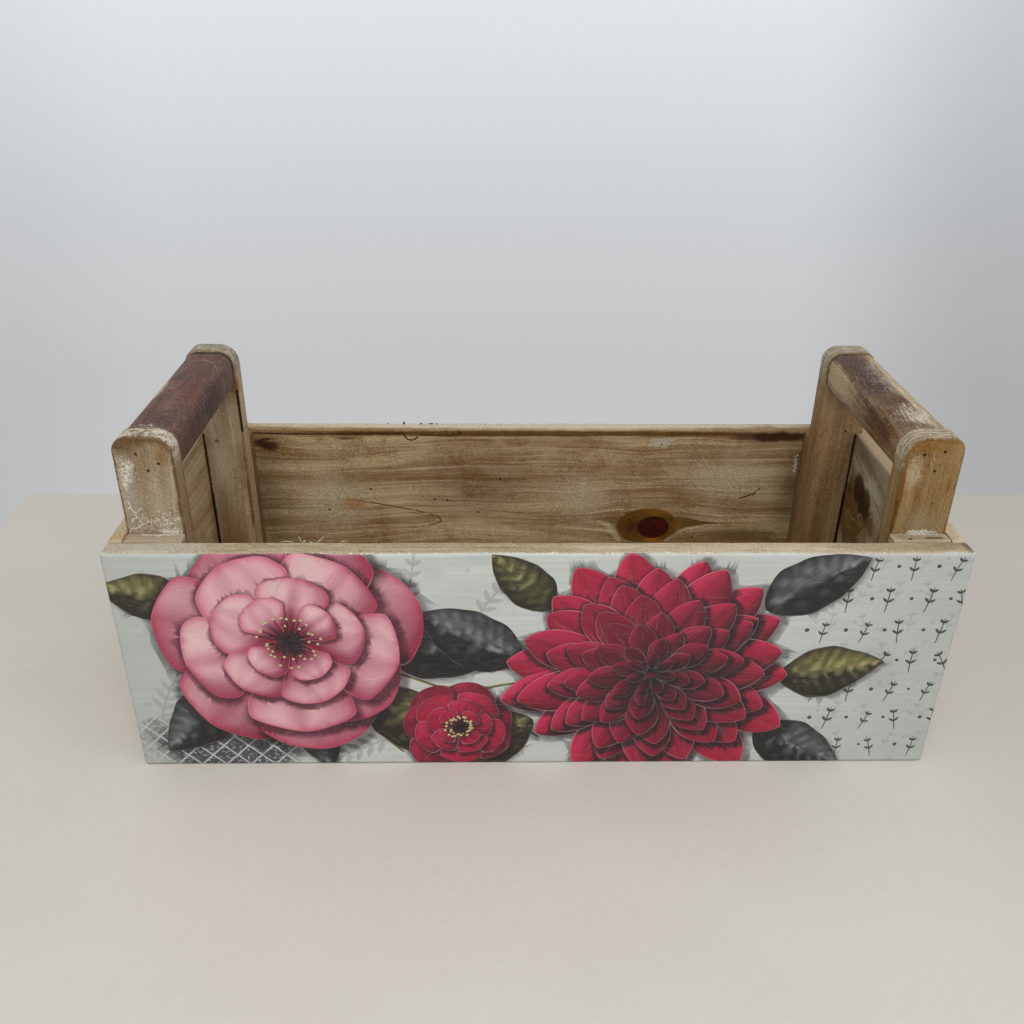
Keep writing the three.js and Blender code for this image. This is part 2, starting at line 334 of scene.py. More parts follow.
def wood(name, grain, pale, dark, seed, bands=0.6, lines=0.4, fibres=0.5, mottle=0.3, painted_relief=0.6, lean=0.0,
         knots=(), edge_tone=BARE, worn=0.4, marks=(), cracks=(), roughness=0.62):
    """Old waxed pine: soft bands and fine lines run with the grain, broken by pores and marks, and by painted
    relief shading.
    """
    graph = material_graph(name)
    place = graph.place()
    x, y, z = graph.split(place)
    along, across, through = {"X": (x, z, y), "Y": (y, z, x), "Z": (z, x, y)}[grain]
    shift = (seed * 7.3, seed * 3.1, seed * 5.7)
    beside = tuple(s + 0.22 for s in shift)
    for centre, radii, part in knots:
        near = graph.far(place, centre, radii)
        bell = graph.math("EXPONENT", graph.times(near, near, -1.0))
        over = graph.math("SUBTRACT", across, centre[2])
        across = graph.math("SUBTRACT", across, graph.times(over, bell, part))
    sway = graph.noise(graph.join(along, across, through), (0.007, 0.02, 0.02), 2.0, shift=shift)
    across = graph.total(across, graph.times(along, lean), graph.times(sway, 22.0))
    lined = graph.join(along, across, through)

    band = graph.noise(lined, (0.006, 0.075, 0.06), 3.0, 0.55, shift=shift)
    line = graph.noise(lined, (0.006, 0.42, 0.35), 4.0, 0.6, shift=shift)
    fibre = graph.noise(lined, (0.1, 1.5, 1.5), 3.0, 0.65, shift=shift)
    cloud = graph.noise(place, (0.035, 0.035, 0.035), 5.0, 0.65, shift=shift)
    grit = graph.noise(lined, GRIT, 4.0, 0.75, shift=shift)
    pore = graph.noise(lined, (0.16, 0.62, 0.62), 2.0, 0.5, shift=shift)

    deep = tuple(c * share for c, share in zip(dark, (0.46, 0.34, 0.2, 1.0)))
    light = tuple(min(1.0, c * share) for c, share in zip(pale, (1.28, 1.36, 1.52, 1.0)))
    colour = graph.lay(pale, dark, graph.step(band, 0.36, 0.66), bands)
    colour = graph.lay(colour, light, graph.step(line, 0.54, 0.66), lines)
    colour = graph.lay(colour, dark, graph.step(line, 0.47, 0.34), lines)
    colour = graph.lay(colour, dark, graph.step(cloud, 0.5, 0.68), mottle)
    colour = graph.lay(colour, light, graph.step(cloud, 0.47, 0.3), mottle * 0.6)
    colour = graph.lay(colour, deep, graph.step(fibre, 0.52, 0.72), fibres * 0.6)
    colour = graph.lay(colour, light, graph.step(fibre, 0.46, 0.28), fibres * 0.45)
    colour = graph.lay(colour, deep, graph.step(pore, 0.71, 0.78), 0.55)
    for mark in marks:
        colour = mark(graph, place, colour)
    # Painted relief shading: two offset noises differ as a slope would, and the colour is lightened on one
    # side of each bump and darkened on the other, patchily, as light on rough wood would do.
    relief_slope = graph.math("SUBTRACT", grit, graph.noise(lined, GRIT, 4.0, 0.75, shift=beside))
    rough = graph.times(graph.total(graph.step(cloud, 0.35, 0.6), 0.5), -2.6 * painted_relief)
    painted_light = graph.total(1.0, graph.times(relief_slope, rough))
    colour = graph.scaled(colour, painted_light)
    rub = graph.noise(place, (0.25, 0.25, 0.25), 4.0, 0.65, shift=shift)
    rim = graph.total(graph.attribute("edge"), graph.times(graph.math("SUBTRACT", rub, 0.5), 1.3))
    colour = graph.lay(colour, edge_tone, graph.step(rim, 0.28, 0.75), worn)
    for crack in cracks:
        colour = crack(graph, place, colour)

    gloss = graph.total(graph.times(line, 0.2), graph.times(grit, 0.12), roughness - 0.14)
    height = graph.total(graph.times(line, 0.5), graph.times(fibre, 0.6), graph.times(grit, -0.9))
    graph.shader.inputs["Specular IOR Level"].default_value = 0.14
    return graph.finish(colour, gloss, height, depth=0.45, strength=0.8)


# The meshes: worn boards, and posts and bars run along a section

EDGE_REACH = 2.2 * MM
CROWN_REACH = 12 * MM
GROOVE_DEPTH = 0.35 * MM
GLUE_LINE = 0.3 * MM
OVERCUT = 3 * MM
SECTION_PITCH = 4.5 * MM
SHARP_ANGLE = math.radians(50)
FACE_SINK = 0.12 * MM
BRUISE = 1.35

# Waves per metre of the noise that wears a piece: slow swells, small nicks and shallow dents
BOARD_SWELL, BOARD_NICK, BOARD_DENT = 45, 230, 28
SECTION_SWELL, SECTION_NICK, SECTION_DENT = 90, 260, 35


def graded(low, high, pitch):
    """Places from low to high: close together near both ends, and about a pitch apart between."""
    span = high - low
    near = [s * MM for s in (0.0, 0.35, 0.8, 1.5, 2.6, 4.5) if s * MM < 0.4 * span]
    middle = span - 2 * near[-1]
    count = max(1, round(middle / pitch))
    steps = near + [near[-1] + middle * i / count for i in range(1, count)]
    return [low + s for s in steps] + [high - s for s in reversed(near)]


def box_surface(low, high, pitch):
    """The corners and the four-sided faces of a box, gridded at graded places."""
    axes = [graded(low[i], high[i], pitch) for i in range(3)]
    last = [len(places) - 1 for places in axes]
    points, faces, known = [], [], {}

    def corner(key):
        if key not in known:
            known[key] = len(points)
            points.append(Vector(axes[i][key[i]] for i in range(3)))
        return known[key]

    for axis in range(3):
        a, b = (axis + 1) % 3, (axis + 2) % 3
        for end in (0, last[axis]):
            for i in range(last[a]):
                for j in range(last[b]):
                    face = []
                    for step_a, step_b in ((0, 0), (1, 0), (1, 1), (0, 1)):
                        key = [0, 0, 0]
                        key[axis], key[a], key[b] = end, i + step_a, j + step_b
                        face.append(corner(tuple(key)))
                    faces.append(face if end else face[::-1])
    return points, faces


def weathered(points, low, high, radius, sink, seed, chips=2.2):
    """A box's points with its edges rounded unevenly and its faces sunk a little, never outwards."""
    drift = Vector((seed * 1.7, seed * 0.9, seed * 2.3))
    worn, edges = [], []
    for point in points:
        swell = noise.noise(point * BOARD_SWELL + drift)
        nick = max(0.0, noise.noise(point * BOARD_NICK + drift) - 0.15)
        round_off = radius * (1 + 0.5 * abs(swell) + chips * nick)
        core = Vector(min(max(point[i], low[i] + round_off), high[i] - round_off) for i in range(3))
        outward = (point - core).normalized()
        dent = sink * (0.5 + 0.5 * noise.noise(point * BOARD_DENT - drift))
        worn.append(core + outward * (round_off - dent))
        gaps = sorted(min(point[i] - low[i], high[i] - point[i]) for i in range(3))
        edges.append(math.exp(-gaps[1] / EDGE_REACH))
    return worn, edges


def shouldered(low, high, top_radii, bottom_radius, pitch):
    """A section in X and Z, anticlockwise from the lower left: straight sides under two round shoulders."""
    left_radius, right_radius = top_radii
    corners = (
        (low[0], low[2], 1, 1, bottom_radius, 180),
        (high[0], low[2], -1, 1, bottom_radius, 270),
        (high[0], high[2], -1, -1, right_radius, 0),
        (low[0], high[2], 1, -1, left_radius, 90),
    )
    turns = []
    for x, z, way_x, way_z, radius, start in corners:
        steps = 9 if radius > 2 * MM else 3
        for i in range(steps + 1):
            angle = math.radians(start + 90 * i / steps)
            centre = (x + way_x * radius, z + way_z * radius)
            turns.append((centre[0] + radius * math.cos(angle), centre[1] + radius * math.sin(angle)))
    outline = []
    for here, there in zip(turns, turns[1:] + turns[:1]):
        gap = math.dist(here, there)
        count = max(1, round(gap / pitch))
        outline += [tuple(h + (t - h) * i / count for h, t in zip(here, there)) for i in range(count)]
    return outline


def inward_ways(outline):
    """At each point of a section, the move that shrinks it by one all round."""
    ways = []
    for i, here in enumerate(outline):
        before, after = outline[i - 1], outline[(i + 1) % len(outline)]
        normals = []
        for a, b in ((before, here), (here, after)):
            run = Vector((b[0] - a[0], b[1] - a[1])).normalized()
            normals.append(Vector((-run.y, run.x)))
        ways.append((normals[0] + normals[1]) / (1 + normals[0].dot(normals[1])))
    return ways


def profile_surface(outline, front, back, ease, sink, seed, grooves=()):
    """A section run from front to back, with eased ends and grooves cut round its top. Each point also gets
    its share of edge, which falls off away from an end's edge, and of crown, which is 1 between the ends."""
    ways = inward_ways(outline)
    drift = Vector((seed * 2.1, seed * 1.3, seed * 0.7))
    turns = (0.0, 0.55, 1.05, math.pi / 2)
    eased = [(front + ease * (1 - math.cos(a)), ease * (1 - math.sin(a))) for a in turns]
    rings = [(front, ease, share) for share in (0.5, 0.78, 0.92)] + [(y, inset, 1.0) for y, inset in eased]
    middle = graded(front + 2 * ease, back - 2 * ease, 5 * MM)
    cuts = [groove + lap * MM for groove in grooves for lap in (-0.7, 0.0, 0.7)]
    middle = sorted([y for y in middle if all(abs(y - cut) > 0.5 * MM for cut in cuts)] + cuts)
    top = max(z for _, z in outline)
    heart = [(max(values) + min(values)) / 2 for values in zip(*outline)]
    mirrored = [(front + back - y, inset, share) for y, inset, share in reversed(rings)]
    rings = rings + [(y, 0.0, 1.0) for y in middle] + mirrored
    points, edges, crowns, faces = [], [], [], []
    for y, inset, share in rings:
        groove = GROOVE_DEPTH if y in grooves else 0.0
        for (x, z), way in zip(outline, ways):
            here = Vector((x, y, z))
            swell = noise.noise(here * SECTION_SWELL + drift)
            nick = max(0.0, noise.noise(here * SECTION_NICK + drift) - 0.2)
            dent = sink * (0.5 + 0.5 * noise.noise(here * SECTION_DENT - drift))
            upper = min(1.0, max(0.0, 1.6 - (top - z) / CROWN_REACH))
            shrink = inset * (1 + 0.5 * swell + 1.6 * nick) + dent + groove * upper
            side, height = x + way.x * shrink - heart[0], z + way.y * shrink - heart[1]
            points.append(Vector((heart[0] + share * side, y, heart[1] + share * height)))
            from_rim = min(y - front, back - y) + inset + (1 - share) * math.hypot(side, height)
            edges.append(math.exp(-from_rim / EDGE_REACH))
            crowns.append(max(0.0, 1.0 - inset / ease))
    count = len(outline)
    for ring in range(len(rings) - 1):
        for i in range(count):
            a, b = ring * count + i, ring * count + (i + 1) % count
            faces.append([a, b, b + count, a + count])
    faces.append(list(range(count))[::-1])
    faces.append([(len(rings) - 1) * count + i for i in range(count)])
    return points, faces, {"edge": edges, "crown": crowns}


def surface_mesh(name, points, faces):
    mesh = bpy.data.meshes.new(name)
    mesh.from_pydata([tuple(p) for p in points], [], faces)
    return mesh


def new_object(name, mesh, material):
    """Puts a mesh in the scene, smooth and of one material."""
    mesh.materials.append(material)
    mesh.polygons.foreach_set("use_smooth", [True] * len(mesh.polygons))
    thing = bpy.data.objects.new(name, mesh)
    bpy.context.scene.collection.objects.link(thing)
    return thing


def make_piece(name, points, faces, material, shares):
    """A mesh that stands for the CAD node of the same name and rides with the crate."""
    piece = new_object("worn_" + name, surface_mesh(name, points, faces), material)
    for share, values in shares.items():
        piece.data.attributes.new(share, "FLOAT", "POINT").data.foreach_set("value", values)
    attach(piece, BODY)
    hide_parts(name)
    return piece


def brads_in(*starts):
    """The sunk heads of the brads whose names start so: middle of the head, axis and way out."""
    heads = []
    for name in sorted(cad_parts):
        if not name.startswith(starts):
            continue
        low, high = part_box(name)
        axis = 0 if high.x - low.x > high.y - low.y else 1
        outward = -1 if ("left" if axis == 0 else "front") in name else 1
        middle = (low + high) / 2
        middle[axis] = low[axis] if outward < 0 else high[axis]
        heads.append((middle, axis, outward))
    return heads


def carve(piece, cutter):
    """Cuts the solids of a bmesh out of a piece, with sharp edges where they meet its surface."""
    mesh = bpy.data.meshes.new("cutter")
    cutter.to_mesh(mesh)
    cutter.free()
    tool = bpy.data.objects.new("cutter", mesh)
    bpy.context.scene.collection.objects.link(tool)
    modifier = piece.modifiers.new("cut", "BOOLEAN")
    modifier.object = tool
    modifier.solver = "EXACT"
    bpy.context.view_layer.update()
    piece.data = bpy.data.meshes.new_from_object(piece.evaluated_get(bpy.context.evaluated_depsgraph_get()))
    piece.data.set_sharp_from_angle(angle=SHARP_ANGLE)
    piece.modifiers.clear()
    bpy.data.objects.remove(tool)


def bore(piece, heads):
    """Cuts the mouths of sunk brads out of a piece."""
    radius, inside, outside = 0.9 * MM, 0.4 * MM, 4 * MM
    cutter = bmesh.new()
    for middle, axis, outward in heads:
        turn = Matrix.Rotation(math.pi / 2, 4, "Y" if axis == 0 else "X")
        shift = Vector((0, 0, 0))
        shift[axis] = outward * (outside - inside) / 2
        place = Matrix.Translation(middle + shift) @ turn
        bmesh.ops.create_cone(cutter, cap_ends=True, segments=14, radius1=radius, radius2=radius,
                              depth=outside + inside, matrix=place)
    carve(piece, cutter)


def rebate(piece, side, shoulder_gap):
    """Cuts the two rebates that house an end's posts and cleats."""
    low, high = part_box(side + "_end_board")
    cutter = bmesh.new()
    for face in ("front", "back"):
        post_low, post_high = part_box(f"{face}_{side}_post")
        lap = Vector((OVERCUT, OVERCUT, OVERCUT))
        start, end = low - lap, high + lap
        if side == "left":
            start.x = post_low.x - GLUE_LINE
        else:
            end.x = post_high.x + GLUE_LINE
        if face == "front":
            end.y = post_high.y + shoulder_gap
        else:
            start.y = post_low.y - shoulder_gap
        place = Matrix.Translation((start + end) / 2) @ Matrix.Diagonal((end - start).to_4d())
        place[3][3] = 1.0
        bmesh.ops.create_cube(cutter, size=1.0, matrix=place)
    carve(piece, cutter)


def holes(heads):
    """Marks on the wood: a dark ring of bruised fibres round each brad."""
    radii = (BRUISE, BRUISE, BRUISE)
    return [stain(tuple(middle / MM), radii, SOOT_AND_SHADE, 0.85, 0.5, 0.5, 0.9) for middle, _, _ in heads]


def make_board(node, material, heads=(), pitch=6.0, radius=1.1, seed=0, chips=2.2):
    low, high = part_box(node)
    points, faces = box_surface(low, high, pitch * MM)
    points, edges = weathered(points, low, high, radius * MM, FACE_SINK, seed, chips)
    piece = make_piece(node, points, faces, material, {"edge": edges})
    if heads:
        bore(piece, heads)
    return piece


def make_profile(node, material, top_radii, bottom_radius, ease, heads=(), seed=0, grooves=()):
    low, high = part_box(node)
    shoulders = [radius * MM for radius in top_radii]
    outline = shouldered(low, high, shoulders, bottom_radius * MM, SECTION_PITCH)
    cuts = [low.y + groove * MM for groove in grooves]
    points, faces, shares = profile_surface(outline, low.y, high.y, ease * MM, FACE_SINK, seed, cuts)
    piece = make_piece(node, points, faces, material, shares)
    if heads:
        bore(piece, heads)
    return piece


# The woods, piece by piece

BACK_FACE = 82.9
NEAR_FACE = -73.0
FAR_FACE = 60.3
RIM_TOP = 141.0
BACK_TOP = 133.0
BAR_TOP = 195.2
END_INNER = 213.0
SHOULDER_GAP = 0.9 * MM
BACK_BRADS = brads_in("corner_brad_back", "bottom_brad_back")
ALONG_X = (0.03, 0.3, 0.3)
ALONG_Y = (0.3, 0.028, 0.3)
ALONG_Z = (0.45, 0.45, 0.03)


def knot_marks(x, z):
    """A round knot in the back board: an ochre halo with a tail, a dark red core and a cracked pit."""
    y = BACK_FACE
    pit, silver, olive = srgb(10, 8, 6), srgb(186, 170, 140), srgb(94, 62, 14)
    left_glow = [(x - 39, y, z + 4.5), (x - 32, y, z + 2), (x - 29, y, z - 4), (x - 24, y, z - 10)]
    right_glow = [(x + 10, y, z - 10), (x + 16, y, z - 5), (x + 23, y, z - 1.4), (x + 31, y, z + 0.4)]
    return [
        *thread(left_glow, 2.2, silver, 0.7),
        *thread(right_glow, 1.8, silver, 0.75),
        eye((x - 26, y, z + 6.5), 17, 5, srgb(104, 76, 38), 0.7, 0.6),
        eye((x + 13, y, z + 3.5), 30, 7.5, olive, 0.9, 0.5),
        stain((x - 4.5, y, z + 1), (24, 9, 15), olive, 0.96, 0.1, 0.14, 0.06),
        stain((x - 15, y, z), (10, 9, 10), srgb(64, 32, 8), 0.75, 0.3, 1.0),
        stain((x + 3, y, z + 12), (15, 9, 5), srgb(132, 90, 30), 0.75, 0.3, 1.0),
        stain((x, y, z - 10.5), (10, 9, 3.5), srgb(156, 94, 34), 0.8, 0.3, 0.9),
        stain((x + 17, y, z + 1), (8, 9, 9), srgb(122, 82, 28), 0.7, 0.3, 1.0),
        stain((x, y, z), (12.2, 9, 9.4), srgb(54, 12, 6), 0.97, 0.06, 0.12),
        stain((x + 2, y, z + 2), (8, 9, 5.5), srgb(84, 18, 8), 0.6, 0.4, 0.8),
        *thread([(x - 1.5, y, z + 1.8), (x + 0.6, y, z), (x + 2.6, y, z + 1.2)], 0.7, pit, 0.95),
        *thread([(x + 0.4, y, z + 2.6), (x + 0.6, y, z), (x - 0.4, y, z - 2.4)], 0.7, pit, 0.95),
    ]


def lip_ring():
    """A growth ring that runs along under the back board's rim, dips into a loop and ends in a hook."""
    y, tone = BACK_FACE, srgb(58, 28, 8)
    run = [(-190, 130.4), (-150, 129.4), (-120, 129.8), (-100, 130.2), (-86, 130.2), (-84.4, 127.6),
           (-82.6, 125.8), (-80.4, 125.2), (-78, 125.8), (-76, 127.8)]
    hook = [(-74, 129.2), (-60, 128.5), (-52, 128.6), (-48.6, 129.5), (-46.6, 130.6), (-47.8, 131.6)]
    marks = thread([(x, y, z) for x, z in run], 0.85, tone, 0.9, 0.4)
    return marks + thread([(x, y, z) for x, z in hook], 0.75, tone, 0.85, 0.4)


def back_board_marks():
    y = BACK_FACE
    brown, pale = srgb(84, 52, 17), srgb(186, 168, 138)
    pinholes = ((-57, 79.4), (-66, 80), (-35.6, 69.9), (-140, 72), (-110, 88), (-20, 96), (118, 49))
    return [
        stain((-138, y, 80), (44, 9, 34), pale, 0.8, 0.5, 1.0, 0.06),
        stain((34, y, 82), (38, 9, 28), pale, 0.7, 0.5, 1.0, 0.06),
        stain((142, y, 96), (54, 9, 26), pale, 0.7, 0.5, 1.0, 0.06),
        stain((-122, y, 76), (16, 9, 8), srgb(156, 104, 52), 0.7, 0.5, 1.0, 0.06),
        stain((-34, y, 90), (70, 9, 40), brown, 0.4, 0.4, 1.0, 0.04),
        streaks((-66, y, 114), (76, 9, 18), (0.022, 0.3, 0.16), brown, 0.7, 0.5, 0.34),
        streaks((-30, y, 82), (60, 9, 40), (0.03, 0.3, 0.14), brown, 0.6, 0.4, 0.34),
        streaks((-10, y, 56), (50, 9, 18), (0.03, 0.3, 0.16), brown, 0.7, 0.5, 0.34),
        stain((154, y, 52), (34, 9, 12), srgb(88, 66, 42), 0.6, 0.5, 1.0, 0.06),
        # Darker at both ends, in the corners by the posts: partly stain, partly painted shade.
        stain((-184, y, 84), (22, 9, 56), srgb(92, 70, 46), 0.55, 0.5, 1.0, 0.06),
        stain((188, y, 92), (24, 9, 60), srgb(78, 58, 38), 0.7, 0.4, 1.0, 0.06),
        streaks((0, y, 90), (300, 9, 70), (0.01, 0.3, 0.13), brown, 0.6, 0.06, 0.3),
        streaks((0, y, 90), (300, 9, 70), (0.012, 0.3, 0.3), pale, 0.35, 0.05, 0.25),
        streaks((62, y, 111), (42, 9, 6), ALONG_X, srgb(92, 58, 26), 0.85, 0.5),
        streaks((-178, y, 122), (26, 9, 11), (0.07, 0.3, 0.2), srgb(52, 24, 10), 0.95, 0.85, 0.3),
        stain((-124, y, 126.5), (14, 9, 1.8), brown, 0.8, 0.5, 0.9),
        arch((-62, y, 63.4), 80, 14, -0.064, 0.85, srgb(84, 44, 14), 0.85),
        arch((-66, y, 64.2), 26, 5, -0.064, 0.7, srgb(104, 64, 28), 0.6),
        *knot_marks(89.2, 57.5),
        stain((90, y, 123.4), (10, 9, 4.4), srgb(176, 166, 148), 0.75, 0.9, 0.4, 0.3),
        flakes((90, y, 123), (15, 9, 8), SOOT_AND_SHADE, 0.7, 0.5, 0.4),
        flakes((90, y, 123.4), (11, 9, 5.4), srgb(182, 172, 156), 0.9, 0.6, 0.75),
        *thread([(149, y, 81), (158, y, 84), (162, y, 88.5)], 0.8, SOOT_AND_SHADE, 0.9),
        flakes((160.5, y, 86), (4.5, 9, 2.6), BONE, 0.85, 0.7, 0.7),
        flakes((184, y, 106), (4.5, 9, 26), BONE, 0.85, 0.7, 0.6),
        flakes((-170, y, 92), (12, 9, 14), BONE, 0.5, 0.8, 0.3),
        *[stain((x, y, z), (1.2, 9, 0.9), SOOT_AND_SHADE, 0.9, 0.5, 0.4, 0.7) for x, z in pinholes],
        stain((0, 91.5, BACK_TOP), (240, 8, 4), srgb(200, 188, 164), 0.85, 0.3, 0.4, 0.08),
        stain((0, y, 130.2), (230, 3, 2.8), srgb(88, 56, 14), 0.92, 0.35, 0.5, 0.09),
        *lip_ring(),
        stain((166, y, 128), (32, 9, 5.2), srgb(58, 26, 10), 0.95, 0.5, 0.6, 0.08),
        *holes(BACK_BRADS),
    ]


def back_board_wood():
    return wood("back_board_wood", "X", srgb(178, 156, 120), srgb(118, 86, 46), 3, bands=0.8, lines=0.7,
                fibres=0.6, mottle=0.5, painted_relief=0.75, knots=[((89, BACK_FACE, 57.5), (46, 60, 24), 0.72)],
                worn=0.15, edge_tone=srgb(150, 128, 96), marks=back_board_marks())


def front_board_wood():
    marks = [
        stain((-200, -88, RIM_TOP), (46, 12, 9), srgb(190, 183, 170), 0.75, 0.6, 0.9, 0.08),
        stain((214, -84, RIM_TOP), (20, 7, 9), srgb(128, 106, 76), 0.45, 0.6, 0.8, 0.12),
        stain((223, -88, RIM_TOP), (4, 12, 9), UMBER, 0.7, 0.6, 0.8, 0.3),
        streaks((0, -88, RIM_TOP), (230, 8, 6), (0.02, 0.25, 0.25), srgb(128, 104, 68), 0.6, 0.1),
        flakes((-40, -90, RIM_TOP), (210, 6, 5), srgb(206, 198, 180), 0.6, 0.5, 0.3),
        flakes((0, -94, 140.4), (500, 2.6, 3), srgb(224, 220, 210), 0.95, 0.7, 0.62),
    ]
    return wood("front_board_wood", "X", srgb(188, 174, 146), srgb(148, 126, 92), 11, bands=0.6, lines=0.5,
                fibres=0.5, mottle=0.4, painted_relief=0.6, worn=0.25, edge_tone=srgb(190, 178, 154), marks=marks)


def gap_shadow_marks(side):
    """The painted shadow of the gap between an end board and its far post, ragged and wider below, with a
    brown band beside it.
    """
    x = END_INNER * side
    return [
        seam((x, FAR_FACE - 1.6, 5), (x, FAR_FACE - 1.6, 138), 2.2, srgb(112, 70, 30), 0.55, 0.8),
        seam((x, FAR_FACE - 0.4, 5), (x, FAR_FACE - 0.4, 139), 1.3, SOOT_AND_SHADE, 0.97, 0.7),
        seam((x, FAR_FACE - 0.4, 5), (x, FAR_FACE - 0.4, 96), 1.9, SOOT_AND_SHADE, 0.97, 0.7),
    ]


def left_end_marks():
    x = -END_INNER
    return [
        stain((x, -20, 70), (9, 60, 30), srgb(118, 92, 62), 0.4, 0.5, 1.0, 0.05),
        stain((x, 56, 60), (9, 14, 60), srgb(120, 80, 44), 0.6, 0.5, 1.0, 0.06),
        flakes((x, 0, 120), (9, 60, 26), srgb(196, 184, 160), 0.6, 0.9, 0.35),
        *gap_shadow_marks(-1),
    ]


def right_end_marks():
    """Glue that ran down the inside of the board in brown tongues, rippled below, on pale brushed wood."""
    x = END_INNER
    amber, dark, ripple = srgb(104, 73, 24), srgb(56, 33, 9), srgb(172, 150, 108)
    ripples = (
        ((53.4, 83.3), (50, 88), (47.5, 89.4), (41, 87.6), (34.8, 89.7)),
        ((31.2, 94.5), (29.4, 97), (27.4, 97.4), (24.4, 97), (21.7, 95)),
        ((24.6, 82.2), (20.5, 89), (17.6, 92.7), (12, 91), (6.2, 92.3)),
        ((13.2, 103.3), (10.6, 106.6), (8.4, 107.2), (2, 106.2), (-3.8, 107.3)),
    )
    marks = [
        stain((x, 40, 133), (9, 26, 8), srgb(124, 102, 78), 0.6, 0.5, 1.0),
        stain((x, 15, 121), (9, 24, 9), srgb(204, 198, 184), 0.75, 0.7, 1.0, 0.16),
        stain((x, 44, 90), (9, 32, 30), amber, 0.88, 0.4, 0.4, 0.08),
        stain((x, 14, 98), (9, 11, 12), amber, 0.75, 0.4, 0.4, 0.12),
        stain((x, 38, 111), (9, 11, 13), dark, 0.88, 0.35, 0.35, 0.12),
        stain((x, 26, 106), (9, 12, 14), dark, 0.9, 0.35, 0.35, 0.12),
        stain((x, 53, 106), (9, 4, 11), srgb(88, 62, 24), 0.8, 0.4, 0.5, 0.1),
        stain((x, 45, 82), (9, 13, 7), srgb(134, 104, 50), 0.7, 0.5, 0.8),
        stain((x, 27, 92), (9, 7, 5), srgb(140, 110, 56), 0.75, 0.4, 0.8),
        stain((x, 16, 86), (9, 9, 7), srgb(146, 116, 60), 0.7, 0.4, 0.8),
        streaks((x, 30, 100), (9, 40, 34), (0.3, 0.05, 0.4), srgb(48, 30, 10), 0.6, 0.2, 0.3),
    ]
    for run in ripples:
        marks += thread([(x, y, z) for y, z in run], 0.9, ripple, 0.6, 0.7)
    return marks + gap_shadow_marks(1)


def top_edge(side, tone):
    """The sawn top of an end board, cleaner than its faces."""
    return stain(((END_INNER + 6) * side, 0, RIM_TOP), (14, 90, 2.6), tone, 0.85, 0.3, 0.4, 0.1)


def end_board_wood(side, seed, heads):
    if side == "left":
        tones = (srgb(190, 168, 132), srgb(142, 108, 66))
        marks, lean, bands = [*left_end_marks(), top_edge(-1, srgb(198, 182, 152))], 0.05, 0.3
    else:
        tones = (srgb(188, 174, 148), srgb(132, 114, 86))
        marks, lean, bands = [*right_end_marks(), top_edge(1, srgb(198, 174, 138))], -0.35, 0.75
    return wood(side + "_end_wood", "Y", *tones, seed, bands=bands, lines=0.7, fibres=0.6, mottle=0.4,
                lean=lean, worn=0.6, edge_tone=srgb(192, 178, 152), marks=marks + holes(heads))


def bottom_board_wood():
    return wood("bottom_board_wood", "X", srgb(166, 142, 106), srgb(128, 100, 66), 23, bands=0.6, lines=0.4,
                mottle=0.4)


def cleat_wood(corner, seed):
    if corner.startswith("back"):
        return wood(corner + "_cleat_wood", "Z", srgb(138, 106, 68), srgb(100, 70, 40), seed,
                    edge_tone=srgb(126, 92, 54), worn=0.3)
    if corner == "front_right":
        marks = [
            stain((195.8, -79.6, RIM_TOP), (1.6, 1.3, 2), SOOT_AND_SHADE, 0.95, 0.4, 0.4, 0.6),
            stain((209, -78.6, RIM_TOP), (7, 1.6, 3), srgb(98, 74, 46), 0.9, 0.4, 0.5, 0.3),
            flakes((202, -74.5, RIM_TOP), (18, 2.4, 4), BONE, 0.9, 0.6, 0.85),
        ]
    else:
        marks = [
            flakes((-202, -74.6, RIM_TOP), (20, 3.6, 4), BONE, 0.95, 0.9, 0.95),
            stain((-202, -79, RIM_TOP), (17, 3, 4), srgb(178, 170, 154), 0.6, 0.6, 0.9, 0.2),
        ]
    return wood(corner + "_cleat_wood", "Z", srgb(170, 154, 126), srgb(132, 110, 78), seed, bands=0.5,
                lines=0.3, worn=0.3, edge_tone=srgb(186, 174, 150), marks=marks)


def glue_threads(tone):
    """Dried threads of glue at the foot of the near left post, each a run of points in X and Z."""
    runs = (
        ((-213.6, 160), (-212.8, 156.4), (-211.4, 153.2), (-210.4, 150.4), (-208.6, 147.8), (-207.9, 146.2)),
        ((-207.9, 146.2), (-210.4, 144.9), (-212.4, 143.5), (-214.6, 143.8), (-215.8, 141.2),
         (-216.8, 139.2)),
        ((-212.8, 156.4), (-214.4, 155.4)),
        ((-211.4, 153.2), (-209.4, 153.8), (-207.4, 155.8)),
        ((-210.4, 150.4), (-212.6, 149.6), (-213.4, 147.6)),
        ((-207.9, 146.2), (-206.0, 147.0), (-204.8, 149.0)),
    )
    marks = []
    for run in runs:
        marks += thread([(x, NEAR_FACE, z) for x, z in run], 0.3, tone, 0.95, 0.6)
    return marks


